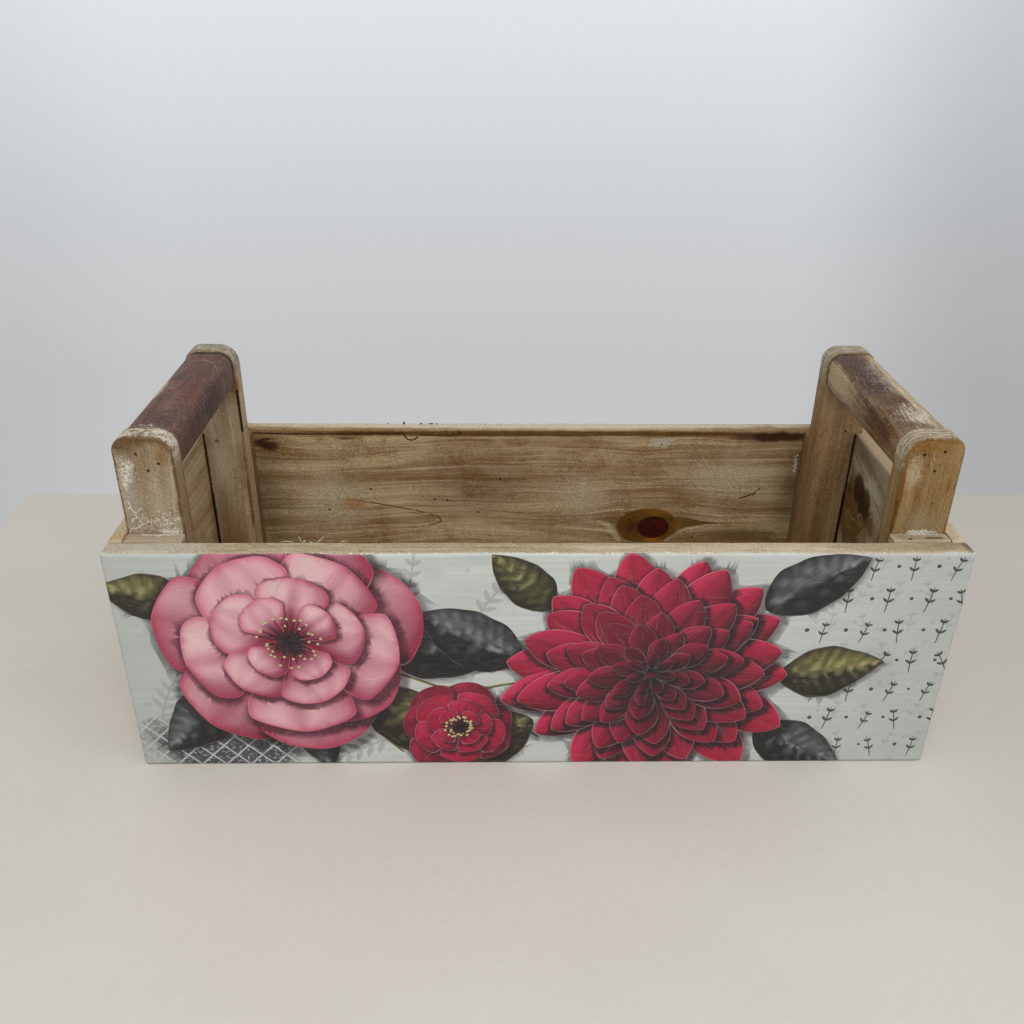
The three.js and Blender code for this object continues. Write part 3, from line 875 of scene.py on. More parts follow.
def front_left_marks():
    y = NEAR_FACE
    white = srgb(216, 210, 198)
    return [
        stain((-211, y, 191), (9, 5, 8), srgb(90, 64, 34), 0.85, 0.5, 0.9),
        stain((-201, y, 194), (14, 5, 4), srgb(110, 84, 50), 0.7, 0.5, 0.9),
        stain((-191, y, 186), (5, 5, 10), srgb(132, 102, 62), 0.6, 0.5, 0.9),
        stain((-198, y, 160), (11, 5, 20), srgb(174, 154, 124), 0.55, 0.5, 1.0, 0.07),
        stain((-212, y, 168), (7, 5, 24), srgb(158, 150, 134), 0.6, 0.5, 1.0, 0.07),
        streaks((-188.2, y, 166), (1.8, 5, 30), ALONG_Z, srgb(104, 66, 24), 0.8, 0.6),
        scratches(white, 0.4, 0.3, upright=True),
        stain((-186.7, -66, 160), (2.6, 9, 44), srgb(146, 118, 78), 0.8, 0.4, 0.6, 0.08),
        flakes((-211, y, 178), (12, 5, 22), white, 0.85, 1.3, 0.6),
        flakes((-213, y, 170), (6, 5, 18), white, 0.8, 0.9, 0.5),
        flakes((-200, y, 168), (18, 5, 26), white, 0.4, 1.6, 0.3),
        flakes((-195, y, 142), (16, 5, 5), white, 0.9, 1.1, 0.75),
        flakes((-195, y, 147), (12, 5, 9), white, 0.7, 1.4, 0.5),
        webs((-194, y, 148), (13, 5, 10), white, 0.95, 0.42),
        webs((-206, y, 146), (12, 5, 8), white, 0.85, 0.36),
        *glue_threads(white),
        crown_paint(176, 187, srgb(206, 199, 184), 0.9, 0.6),
    ]


def front_right_marks():
    y = NEAR_FACE
    pale, soot, grooves = srgb(196, 176, 140), srgb(66, 42, 18), (-69.5, -66.5, -63.5)
    return [
        stain((203, y, 191), (15, 5, 6), srgb(128, 94, 44), 0.7, 0.5, 0.9),
        stain((203, y, 147), (19, 5, 11), srgb(138, 121, 92), 0.75, 0.5, 0.9, 0.08),
        stain((193, y, 176), (8, 5, 12), srgb(174, 156, 126), 0.65, 0.8, 0.8, 0.2),
        stain((213, y, 172), (5, 5, 26), srgb(126, 90, 40), 0.6, 0.5, 1.0, 0.08),
        stain((188.2, y, 164), (1.7, 5, 30), srgb(102, 64, 18), 0.9, 0.6, 0.6, 0.1),
        streaks((212.5, y, 168), (4.0, 5, 30), ALONG_Z, srgb(98, 62, 22), 0.7, 0.5),
        flakes((203, y, 160), (40, 9, 50), pale, 0.5, 1.7, 0.18),
        flakes((204, y, 160), (40, 9, 50), soot, 0.5, 1.5, 0.14),
        flakes((196, y, 151), (16, 5, 14), soot, 0.6, 1.9, 0.4),
        flakes((203, y, 141), (22, 5, 4), BONE, 0.9, 1.0, 0.85),
        seam((187.6, y, 160), (187.4, y, 139), 1.0, srgb(56, 32, 10), 0.85, 0.6),
        crown_paint(173, 186, srgb(198, 190, 172), 0.7, 0.55, grooves, srgb(154, 139, 112), 0.85),
    ]


def back_left_marks():
    y = FAR_FACE
    return [
        stain((-203, y, 118), (12, 5, 30), srgb(206, 192, 166), 0.8, 0.4, 1.0, 0.06),
        stain((-200, y, 58), (20, 5, 40), srgb(128, 86, 46), 0.7, 0.4, 1.0, 0.06),
        stain((-190, y, 120), (5, 5, 50), srgb(122, 88, 50), 0.5, 0.4, 1.0, 0.06),
        stain((-188, y, 172), (6, 6, 9), srgb(122, 76, 28), 0.8, 0.4, 0.8),
        streaks((-188.2, y, 100), (2.4, 5, 90), ALONG_Z, srgb(112, 66, 22), 0.85, 0.55),
        stain((-204.6, y, 134.5), (1.9, 5, 1.5), srgb(96, 70, 38), 0.8, 0.3, 0.5, 0.4),
        stain((-204.4, y, 134.4), (1.0, 5, 0.8), srgb(160, 132, 90), 0.8, 0.3, 0.5, 0.4),
        flakes((-206, y, 120), (9, 5, 30), srgb(190, 176, 150), 0.4, 0.8, 0.3),
        crown_paint(180, 189, srgb(186, 182, 168), 0.85, 0.45, (), srgb(134, 127, 112), 0.85),
        *gap_shadow_marks(-1),
    ]


def back_right_marks():
    y = FAR_FACE
    return [
        stain((198, y, 60), (9, 5, 60), srgb(96, 70, 42), 0.5, 0.4, 1.0, 0.05),
        streaks((200, y, 100), (14, 5, 80), (0.3, 0.3, 0.012), srgb(176, 148, 112), 0.7, 0.2),
        streaks((203, y, 100), (14, 5, 80), (0.36, 0.3, 0.012), srgb(88, 62, 36), 0.6, 0.1),
        stain((204, y, 168), (10, 5, 16), srgb(92, 74, 48), 0.6, 0.4, 0.9, 0.06),
        stain((206, y, 142), (1.0, 5, 1.0), SOOT_AND_SHADE, 0.9, 0.4, 0.5, 0.5),
        seam((186.9, y + 2.6, 173), (186.9, y + 2.8, 149), 1.1, srgb(104, 56, 16), 0.85, 0.7),
        seam((187.2, y + 0.6, 173), (187.2, y + 0.6, 154), 0.6, SOOT_AND_SHADE, 0.8, 0.8),
        seam((186.9, y + 2.6, 148), (186.9, y + 2.6, 20), 0.8, srgb(112, 72, 34), 0.6, 0.8),
        crown_paint(172, 186, srgb(182, 178, 162), 0.85, 0.5, (63.8, 68.8), srgb(146, 138, 116), 0.85),
        *gap_shadow_marks(1),
    ]


class Post:
    """How one post differs from the others: its two wood tones, shoulders, grooves, edge tone and wear,
    strength of painted relief shading, marks, and cracks that run through its worn edges."""

    def __init__(self, pale, dark, shoulders, grooves, edge_tone, worn, painted_relief, marks, cracks=()):
        self.pale, self.dark, self.shoulders, self.grooves = pale, dark, shoulders, grooves
        self.edge_tone, self.worn, self.painted_relief = edge_tone, worn, painted_relief
        self.marks, self.cracks = marks, cracks


def edge_slit():
    """The long open crack down the inner arris of the far left post."""
    top, low = (-187.4, FAR_FACE, 169), (-187.2, FAR_FACE, 142)
    return [seam(top, low, 1.5, SOOT_AND_SHADE, 0.97, 0.35)]


POSTS = {
    "front_left": Post(srgb(160, 147, 124), srgb(122, 98, 64), (8.5, 10.5), (),
                       srgb(92, 62, 28), 0.8, 0.55, front_left_marks()),
    "front_right": Post(srgb(142, 117, 78), srgb(106, 70, 26), (10.5, 8.0), (3.5, 6.5, 9.5),
                        srgb(104, 68, 22), 0.55, 0.9, front_right_marks()),
    "back_left": Post(srgb(190, 172, 140), srgb(140, 108, 68), (8.0, 11.5), (),
                      srgb(116, 78, 36), 0.6, 0.7, back_left_marks(), edge_slit()),
    "back_right": Post(srgb(170, 142, 104), srgb(118, 82, 42), (9.0, 9.0), (3.5, 8.5),
                       srgb(116, 98, 68), 0.5, 0.7, back_right_marks()),
}


def make_corner(corner, seed):
    """A post and the cleat that packs it off its board."""
    post = POSTS[corner]
    heads = brads_in("bar_brad_" + corner)
    finish = wood(corner + "_post_wood", "Z", post.pale, post.dark, seed, bands=0.65, lines=0.45, fibres=0.55,
                  mottle=0.45, painted_relief=post.painted_relief, edge_tone=post.edge_tone, worn=post.worn,
                  marks=post.marks + holes(heads), cracks=post.cracks)
    make_profile(corner + "_post", finish, post.shoulders, 1.2, 0.9, heads, seed=seed,
                 grooves=post.grooves)
    make_board(corner + "_cleat", cleat_wood(corner, seed + 2), radius=0.7, seed=seed + 2)


def left_bar_marks():
    light, above = srgb(172, 156, 146), (1, 1, 0)
    bend = [(-206.5, 45, BAR_TOP), (-199, 44, BAR_TOP), (-193, 39, BAR_TOP), (-189, 32, BAR_TOP)]
    return [
        stain((-196, -8, BAR_TOP), (11, 40, 14), srgb(108, 60, 50), 0.5, 0.6, 1.0, 0.06),
        stain((-198, 34, BAR_TOP), (12, 20, 14), srgb(98, 60, 50), 0.5, 0.5, 1.0, 0.06),
        stain((-200, -46, BAR_TOP), (16, 20, 14), srgb(72, 52, 48), 0.6, 0.5, 1.0, 0.06),
        stain((-206, 16, BAR_TOP), (4, 11, 8), srgb(56, 46, 48), 0.7, 0.6, 0.8, 0.15),
        # Painted shade on the bar's inner side, which faces into the crate.
        stain((-187.6, 0, 184), (4, 66, 9.5), srgb(62, 40, 35), 0.7, 0.4, 0.9, 0.08),
        streaks((-200, 0, BAR_TOP), (20, 66, 14), ALONG_Y, srgb(58, 38, 34), 0.6, 0.1),
        scratches(light, 0.55, 0.62),
        flakes((-198, 4, BAR_TOP), (24, 80, 20), light, 0.4, 1.5, 0.1),
        # Painted shade: near black where the bar meets the far post.
        stain((-202, FAR_FACE, 186), (200, 4.6, 200), SOOT_AND_SHADE, 0.97, 1.0, 0.3, 0.5),
        *thread(bend, 0.4, light, 0.55, 0.8, above),
        streaks((-212, 0, 193), (4.6, 74, 6), (0.25, 0.03, 0.25), srgb(172, 153, 121), 0.9, 0.6),
        stain((-217, 0, 184), (4.4, 70, 11), srgb(166, 147, 115), 0.9, 0.3, 0.4, 0.1),
        flakes((-204, -56, BAR_TOP), (18, 6, 10), BONE, 0.7, 0.8, 0.5),
    ]


def right_bar_marks():
    """Plum stain rubbed through along the bar: to pale wood on both sides, to brown near the front."""
    whitish, pale = srgb(202, 194, 178), srgb(182, 162, 126)
    return [
        stain((198, 26, BAR_TOP), (14, 74, 14), srgb(80, 58, 51), 0.9, 0.5, 0.7, 0.08),
        stain((198, -34, BAR_TOP), (14, 46, 14), srgb(92, 66, 48), 0.85, 0.6, 0.8, 0.08),
        streaks((212, 0, 192), (12, 110, 16), (0.22, 0.014, 0.22), pale, 0.8, 1.3, 0.35),
        streaks((187, 38, 184), (8, 56, 18), (0.24, 0.016, 0.24), pale, 0.85, 1.3, 0.35),
        streaks((187, -34, 184), (9, 48, 18), (0.3, 0.02, 0.3), srgb(116, 77, 34), 0.9, 1.3, 0.35),
        streaks((189, -24, 186), (14, 80, 24), (0.9, 0.03, 0.9), srgb(62, 38, 18), 0.85, 0.7, 0.2),
        streaks((199, 8, BAR_TOP), (30, 140, 24), (0.9, 0.04, 0.9), srgb(50, 33, 28), 0.7, 0.45, 0.2),
        streaks((203, -42, BAR_TOP), (26, 50, 20), (1.5, 0.1, 1.5), whitish, 0.8, 0.6, 0.2),
        streaks((207, 10, BAR_TOP), (22, 120, 20), (1.6, 0.1, 1.6), whitish, 0.6, 0.4, 0.2),
        scratches(whitish, 0.25, 0.4),
        flakes((198, 8, BAR_TOP), (60, 200, 60), whitish, 0.95, 1.0, 0.24),
        flakes((198, -40, BAR_TOP), (26, 44, 20), whitish, 0.85, 1.0, 0.38),
        # Painted shade: near black where the bar meets the far post.
        stain((202, FAR_FACE, 186), (200, 3.0, 200), SOOT_AND_SHADE, 0.9, 0.9, 0.4, 0.5),
    ]


BAR_WOODS = {
    "left": (srgb(114, 87, 75), srgb(74, 48, 37), left_bar_marks(), 0.56),
    "right": (srgb(144, 122, 92), srgb(88, 62, 40), right_bar_marks(), 0.6),
}


def make_bar(side, seed):
    pale, dark, marks, roughness = BAR_WOODS[side]
    finish = wood(side + "_bar_wood", "Y", pale, dark, seed, bands=0.6, lines=0.4, fibres=0.8, mottle=0.4,
                  painted_relief=0.75, edge_tone=srgb(150, 126, 100), worn=0.2, marks=marks, roughness=roughness)
    make_profile(side + "_hand_bar", finish, (8.2, 8.2), 0.6, 0.3, seed=seed)


def brad_steel():
    graph = material_graph("brad_steel")
    rust = graph.rim(graph.place(), 0.9)
    colour = graph.mix(graph.step(rust, 0.4, 0.65), srgb(92, 88, 82), srgb(86, 52, 28))
    graph.shader.inputs["Metallic"].default_value = 0.6
    roughness = graph.total(graph.times(graph.step(rust, 0.35, 0.7), 0.4), 0.4)
    return graph.finish(colour, roughness, rust, depth=0.05)


def dress_brads():
    """The brads stay as the CAD made them, in dull steel."""
    steel = brad_steel()
    for name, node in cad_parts.items():
        if "_brad_" in name:
            node.data.materials.clear()
            node.data.materials.append(steel)


def make_woodwork():
    make_board("back_board", back_board_wood(), BACK_BRADS, seed=3)
    make_board("front_board", front_board_wood(), radius=1.8, seed=11, chips=0.5)
    make_board("bottom_board", bottom_board_wood(), seed=23, pitch=9)
    for side, seed in (("left", 31), ("right", 37)):
        heads = brads_in("end_brad_" + side, "bottom_brad_" + side)
        finish = end_board_wood(side, seed, heads)
        piece = make_board(side + "_end_board", finish, heads, radius=0.8, seed=seed, chips=5.0)
        rebate(piece, side, SHOULDER_GAP)
    for number, corner in enumerate(POSTS):
        make_corner(corner, 41 + 5 * number)
    for side, seed in (("left", 61), ("right", 67)):
        make_bar(side, seed)


# The print on the front board, laid out in millimetres: x to the right and z up

PRINT_SEED = 5
LIGHT_FROM = math.radians(125)
NIGHT = (14, 5, 10)
WINE = (48, 4, 20)
MAROON = (98, 8, 36)
CRIMSON = (162, 12, 52)
ROSE = (206, 54, 98)
BLUSH = (218, 166, 174)
CREAM = (226, 212, 200)
SLATE = (112, 118, 118)
DEEP_SLATE = (14, 18, 20)
OLIVE = (150, 142, 82)
DEEP_OLIVE = (24, 25, 12)
STRAW = (204, 196, 150)
ASH = (142, 148, 146)
INK = (30, 33, 35)


def smooth(value, low, high):
    """0 at low and 1 at high, with a smooth way between."""
    share = np.clip((value - low) / (high - low), 0, 1)
    return share * share * (3 - 2 * share)


def between(a, b, share):
    """Colours from a to b, one row for each share."""
    a, b = np.asarray(a, float), np.asarray(b, float)
    return a + (b - a) * np.reshape(share, (-1, 1))


def tone_between(a, b, share):
    return tuple(between(a, b, share)[0])


class Blade:
    """A petal, leaf, stem, dot or shadow of the print: a shape from a foot to a tip, and its paint."""

    def __init__(self, foot, angle, length, width, paint, bend=0.0, belly=1.0, fullness=1.0, ruffle=0.0,
                 seed=0.0, rim=0.0, streak=0.5, crisp=True):
        self.foot, self.angle = foot, math.radians(angle)
        self.length, self.width, self.bend = length, width, bend
        self.belly, self.fullness, self.ruffle, self.seed = belly, fullness, ruffle, seed
        self.paint, self.rim, self.streak, self.crisp = paint, rim, streak, crisp

    def half_width(self, u):
        wave = 1 + self.ruffle * (np.sin(9 * u + self.seed) + 0.6 * np.sin(23 * u + 2 * self.seed))
        bulge = np.sin(np.pi * np.clip(u, 0, 1) ** self.belly).clip(0)
        return self.width * bulge ** self.fullness * wave

    def points(self, u, v):
        """Where a share u of the length and v of the half width lies on the sheet."""
        along = u * self.length
        across = v * self.half_width(u) + self.bend * u * u
        cos, sin = math.cos(self.angle), math.sin(self.angle)
        x = self.foot[0] + cos * along - sin * across
        z = self.foot[1] + sin * along + cos * across
        return np.stack([x, z], -1)

    def shares(self, places):
        """The shares of length and half width at places on the sheet, and the way in from the outline."""
        x, z = places[:, 0] - self.foot[0], places[:, 1] - self.foot[1]
        cos, sin = math.cos(self.angle), math.sin(self.angle)
        u = (cos * x + sin * z) / self.length
        across = cos * z - sin * x - self.bend * u * u
        wide = np.maximum(self.half_width(u), 0.05)
        inside = np.minimum(wide - np.abs(across), (1 - u) * self.length).clip(0)
        return u, np.clip(across / wide, -1.1, 1.1), inside

    def outline(self):
        count = int(min(36, max(7, self.length / 1.6)))
        u = (1 - np.cos(np.linspace(0, np.pi, count))) / 2
        near = self.points(u, np.ones_like(u))
        far = self.points(u[-2:0:-1], -np.ones(count - 2))
        return np.concatenate([near, far])

    def inner(self):
        """Places inside the shape, where its shading is worked out too."""
        sides = (-0.85, -0.5, -0.15, 0.15, 0.5, 0.85) if self.width > 3 else (0.0,)
        u = np.linspace(0.06, 0.95, int(min(13, max(2, self.length / 4))))
        return np.concatenate([self.points(u, np.full_like(u, v)) for v in sides])


def side_light(blade, v):
    """1 on the half of a blade that faces the painted light, and -1 on the half that turns away."""
    return v * math.cos(blade.angle + math.pi / 2 - LIGHT_FROM)


def petal_paint(deep, body, light, edge=None, edge_share=0.0):
    """Dark at the foot and away from the light, creased lengthwise, with an edge of another tone."""
    def paint(blade, u, v, inside):
        side = side_light(blade, v)
        facing = 0.5 + 0.5 * math.cos(blade.angle - LIGHT_FROM)
        colour = between(deep, body, smooth(u, 0.1, 0.85 - 0.25 * facing))
        crease = (0.5 + 0.5 * np.sin(9 * v + blade.seed + 2.5 * u)) * (1 - np.abs(v)) * (1 - 0.5 * u)
        turned = smooth(-side, 0.2, 1.0) * (1.15 - 0.5 * facing)
        fold = np.exp(-(v / 0.14) ** 2) * (1 - u) ** 2
        dark = np.clip(0.75 * np.maximum(turned, fold) + 0.4 * crease, 0, 0.92)
        colour += (np.asarray(deep, float) - colour) * dark[:, None]
        lit = smooth(side, -0.2, 0.85) * smooth(u, 0.3, 0.92) * (0.35 + 0.65 * facing)
        colour += (np.asarray(light, float) - colour) * (0.9 * lit)[:, None]
        if edge:
            tint = edge_share * np.exp(-inside / (0.06 * blade.length))
            colour += (np.asarray(edge, float) - colour) * tint[:, None]
        return colour, np.ones(len(u))
    return paint


def leaf_paint(deep, light, rib):
    """One half lit and one in shade, with pale ribs and a dark border."""
    def paint(blade, u, v, inside):
        half = smooth(side_light(blade, v), -0.12, 0.12)
        ridge = 0.5 + 0.5 * np.cos(2 * np.pi * (u * blade.length / 6.5 - np.abs(v) * 1.2))
        share = 0.05 + 0.6 * half + 0.35 * (u - 0.45) + 0.3 * (ridge - 0.5) - 0.35 * v * v
        colour = between(deep, light, np.clip(share, 0, 1))
        vein = smooth(ridge, 0.86, 1.0) * (1 - np.abs(v))
        middle = np.exp(-(v * blade.width / 0.55) ** 2)
        colour += (np.asarray(rib, float) - colour) * np.maximum(0.4 * vein, 0.65 * middle)[:, None]
        colour += (np.asarray(deep, float) - colour) * (0.8 * np.exp(-inside / 0.9))[:, None]
        return colour, np.ones(len(u))
    return paint


def plain_paint(tone, shade, cover=1.0):
    def paint(blade, u, v, inside):
        return between(tone, shade, smooth(v, -0.6, 1.0)), np.full(len(u), cover)
    return paint


def shadow_paint(tone, cover, reach):
    def paint(blade, u, v, inside):
        return np.tile(np.asarray(tone, float), (len(u), 1)), cover * smooth(inside, 0.0, reach)
    return paint


def with_shadow(blades, blade, tone, cover=0.7, grow=1.16, shift=(1.2, -1.6)):
    """A blade over its own soft shadow."""
    foot = (blade.foot[0] + shift[0], blade.foot[1] + shift[1])
    reach = 0.16 * blade.width + 0.6
    blades.append(Blade(foot, math.degrees(blade.angle), blade.length * (grow + 1) / 2, blade.width * grow,
                        shadow_paint(tone, cover, reach), blade.bend, blade.belly, blade.fullness,
                        blade.ruffle, blade.seed, crisp=False))
    blades.append(blade)


def away_from(centre, angle, reach):
    """The place at a reach from a centre, in a way given in degrees."""
    way = (math.cos(math.radians(angle)), math.sin(math.radians(angle)))
    return (centre[0] + reach * way[0], centre[1] + reach * way[1])


def ring_of(blades, centre, count, start, reach, length, width, paint, draw, shadow, **form):
    """Petals set round a centre, with a little freedom in turn and size."""
    for i in range(count):
        angle = start + 360 * i / count + draw.uniform(-6, 6)
        foot = away_from(centre, angle, reach)
        size = draw.uniform(0.92, 1.08)
        petal = Blade(foot, angle, length * size, width * size, paint, draw.uniform(-3, 3) * length / 60,
                      seed=draw.uniform(0, 9), **form)
        with_shadow(blades, petal, shadow)


def stamens(blades, centre, count, reach, draw):
    """Dark threads with a straw dot on each, round a seed head."""
    thread, dot = plain_paint(NIGHT, WINE), plain_paint(STRAW, OLIVE)
    for i in range(count):
        angle = 360 * i / count + draw.uniform(-6, 6)
        long = reach * draw.uniform(0.65, 1.1)
        tip = away_from(centre, angle, long)
        blades.append(Blade(centre, angle, long, 0.3, thread, fullness=0.2, streak=0.0))
        blades.append(Blade((tip[0] - 0.8, tip[1]), 0, 1.7, 0.8, dot, fullness=0.5, streak=0.0))


def disc(blades, centre, radius, paint):
    left = (centre[0] - radius, centre[1])
    blades.append(Blade(left, 0, 2 * radius, radius, paint, fullness=0.5, streak=0.0))


def open_bloom(blades, centre, size, tones, draw):
    """A wide flower of four rows of broad petals round a dark seed head."""
    deep, body, light, edge = tones
    broad = {"belly": 1.9, "fullness": 0.62, "ruffle": 0.04, "rim": 0.6}
    far = petal_paint(deep, tone_between(body, deep, 0.35), tone_between(light, body, 0.4), edge, 0.7)
    near = petal_paint(deep, body, light, edge, 0.55)
    disc(blades, centre, 0.5 * size, plain_paint(deep, NIGHT))
    ring_of(blades, centre, 7, 20, 0.08 * size, size, 0.46 * size, far, draw, NIGHT, **broad)
    ring_of(blades, centre, 5, 56, 0.06 * size, 0.82 * size, 0.42 * size, near, draw, WINE, **broad)
    ring_of(blades, centre, 5, 10, 0.04 * size, 0.6 * size, 0.3 * size, near, draw, WINE, **broad)
    ring_of(blades, centre, 4, 40, 0.04 * size, 0.4 * size, 0.2 * size, near, draw, WINE, **broad)
    stamens(blades, centre, 34, 0.24 * size, draw)
    seeds = petal_paint(NIGHT, WINE, MAROON)
    ring_of(blades, centre, 9, 0, 0.0, 0.13 * size, 0.045 * size, seeds, draw, NIGHT)


def full_bloom(blades, centre, size, rows, tones, draw):
    """A round flower of many rows of petals that darken towards its heart."""
    heart, body, light = tones
    disc(blades, centre, 0.6 * size, plain_paint(NIGHT, NIGHT))
    for row in range(rows):
        share = row / (rows - 1)
        length = size * (1 - 0.82 * share)
        mid = tone_between(body, heart, 0.85 * share)
        high = tone_between(light, body, 0.9 * share)
        ring_of(blades, centre, round(15 - 8 * share), 13 * row, 0.1 * length, 0.9 * length,
                length * (0.17 + 0.07 * share), petal_paint(NIGHT, mid, high), draw, NIGHT,
                belly=1.55, fullness=0.7, ruffle=0.02, rim=0.8 - 0.5 * share)
    disc(blades, centre, 0.035 * size, plain_paint(MAROON, NIGHT))


def leaf(blades, foot, angle, length, tones, bend=0.0):
    blade = Blade(foot, angle, length, length * 0.29, leaf_paint(*tones), bend, belly=0.82, fullness=0.85,
                  ruffle=0.035, seed=angle, rim=0.3, streak=0.35)
    with_shadow(blades, blade, DEEP_SLATE, 0.6, 1.1)


def stem(blades, foot, angle, length, width, bend):
    blades.append(Blade(foot, angle, length, width, plain_paint(OLIVE, DEEP_OLIVE), bend, 1.0, 0.12))


def sprig(blades, foot, angle, length, bend, tone, cover):
    """A thin stem with pairs of small leaves, all in one flat ink."""
    flat = plain_paint(tone, tone, cover)
    line = Blade(foot, angle, length, 0.012 * length + 0.15, flat, bend, 1.0, 0.15, streak=0.0)
    blades.append(line)
    pairs = max(2, int(length / 7))
    for i in range(1, pairs + 1):
        share = i / (pairs + 0.5)
        joint = line.points(np.array([share]), np.array([0.0]))[0]
        lean = math.degrees(math.atan2(2 * bend * share, length))
        long, wide = length * (0.3 - 0.12 * share) * 9 / (pairs + 7), length * 0.36 / (pairs + 5)
        for side in (-1, 1):
            blades.append(Blade(joint, angle + lean + side * 48, long, wide, flat, belly=0.9, fullness=0.8,
                                streak=0.0))


def stamped_sprigs(blades, draw):
    """Small upright sprigs stamped in staggered rows beside the flowers, each over a faint double."""
    for row in range(7):
        for column in range(4):
            x, z = 152 + 21 * column + 10.5 * (row % 2), 4 + 20 * row
            for shift, lift, tone, cover in ((4.0, 5.0, ASH, 0.5), (0.0, 0.0, INK, 0.9)):
                sprig(blades, (x + shift, z + lift), draw.uniform(66, 112), draw.uniform(14, 17),
                      draw.uniform(-2, 2), tone, cover)
                dot = (x + shift - 8, z + lift + 9)
                disc(blades, dot, draw.uniform(0.8, 1.3), plain_paint(tone, tone, cover))


def flower_print():
    """Every shape of the print, from the lowest layer to the topmost."""
    draw = random.Random(PRINT_SEED)
    blades = []
    slate, olive = (DEEP_SLATE, SLATE, (176, 182, 176)), (DEEP_OLIVE, OLIVE, STRAW)
    stamped_sprigs(blades, draw)
    for foot, angle, length, bend in (
        ((-34, 100), 62, 44, -8), ((-80, 20), 200, 62, 10),
        ((-210, 34), 74, 58, -14), ((-72, 108), 70, 36, 6),
    ):
        sprig(blades, foot, angle, length, bend, ASH, 0.6)
    for foot, angle, length, bend in (
        ((-80, 66), -20, 92, -16), ((-112, 60), -64, 62, 10), ((-12, 58), 188, 40, 6),
    ):
        stem(blades, foot, angle, length, 0.9, bend)
    for foot, angle, length, tones, bend in (
        ((-86, 84), -6, 76, slate, 9), ((-94, 54), -44, 66, olive, -6), ((-166, 52), 218, 60, slate, 6),
        ((-182, 108), 160, 50, olive, 5), ((-128, 42), -84, 46, slate, 6), ((-2, 32), 206, 66, olive, 7),
        ((-8, 74), 158, 64, slate, -7), ((6, 106), 126, 46, olive, 5), ((120, 106), 38, 60, slate, -6),
        ((132, 62), 4, 58, olive, 6), ((124, 26), -32, 58, slate, 5), ((-38, 58), -100, 46, slate, 5),
    ):
        leaf(blades, foot, angle, length, tones, bend)
    open_bloom(blades, (-44, 27), 31, (WINE, CRIMSON, ROSE, MAROON), draw)
    full_bloom(blades, (62, 64), 80, 8, (WINE, CRIMSON, ROSE), draw)
    open_bloom(blades, (-134, 86), 66, (MAROON, BLUSH, CREAM, CRIMSON), draw)
    return blades


def sheet_border(low, high):
    """The sheet's outline: straight at the sides and foot, round at the lower corners, torn at the rim."""
    pitch, corner, cut, tear = 1.6, 2.2, 0.25, 0.5
    across, upright = int((high[0] - low[0]) / pitch), int((high[1] - low[1]) / pitch)
    shares = [(i / across, 0) for i in range(across)] + [(1, i / upright) for i in range(upright)]
    shares += [(1 - i / across, 1) for i in range(across)] + [(0, 1 - i / upright) for i in range(upright)]
    border = []
    for u, v in shares:
        x, z = low[0] + (high[0] - low[0]) * u, low[1] + (high[1] - low[1]) * v
        ripple = 0.5 + 0.5 * noise.noise(Vector((x * 0.35, z * 0.35, 4.0)))
        shred = 1.3 * max(0.0, noise.noise(Vector((x * 0.06, z * 0.06, 9.0))))
        loss = cut * ripple + (tear * ripple + shred if v == 1 else 0.0)
        x = min(max(x, low[0] + cut * ripple), high[0] - cut * ripple)
        z = min(max(z, low[1]), high[1] - loss)
        past_x, past_z = corner - min(x - low[0], high[0] - x), corner - (z - low[1])
        far = math.hypot(past_x, past_z)
        if past_x > 0 and past_z > 0 and far > corner:
            pull = 1 - corner / far
            x += math.copysign(past_x * pull, -x)
            z += past_z * pull
        border.append((x, z))
    return border


def inside_border(places, border):
    """Which places lie inside the sheet's outline."""
    inside = np.zeros(len(places), bool)
    x, z = places[:, 0], places[:, 1]
    for (x0, z0), (x1, z1) in zip(border, border[1:] + border[:1]):
        if z0 != z1:
            crossed = (z0 > z) != (z1 > z)
            inside ^= crossed & (x < x0 + (z - z0) * (x1 - x0) / (z1 - z0))
    return inside


def cut_sheet(border, blades, low, high):
    """The sheet cut into triangles along the outlines of its shapes."""
    places = [Vector(p) for p in border]
    edges = [(i, (i + 1) % len(border)) for i in range(len(border))]
    for blade in blades:
        outline = blade.outline() if blade.crisp else []
        first, count = len(places), len(outline)
        edges += [(first + i, first + (i + 1) % count) for i in range(count)]
        places += [Vector(p) for p in outline]
        places += [Vector(p) for p in blade.inner()]
    for inset in (1.2, 2.0, 3.2):
        for x, z in border:
            places.append(Vector((min(max(x, low[0] + inset), high[0] - inset),
                                  min(max(z, low[1] + inset), high[1] - inset))))
    cut, _, triangles, _, _, _ = geometry.delaunay_2d_cdt(places, edges, [], 0, 0.004, False)
    cut = np.array([tuple(p) for p in cut])
    corners = np.array(triangles)
    return cut, corners[inside_border(cut[corners].mean(1), border)]


SILK_STEP = 37.0


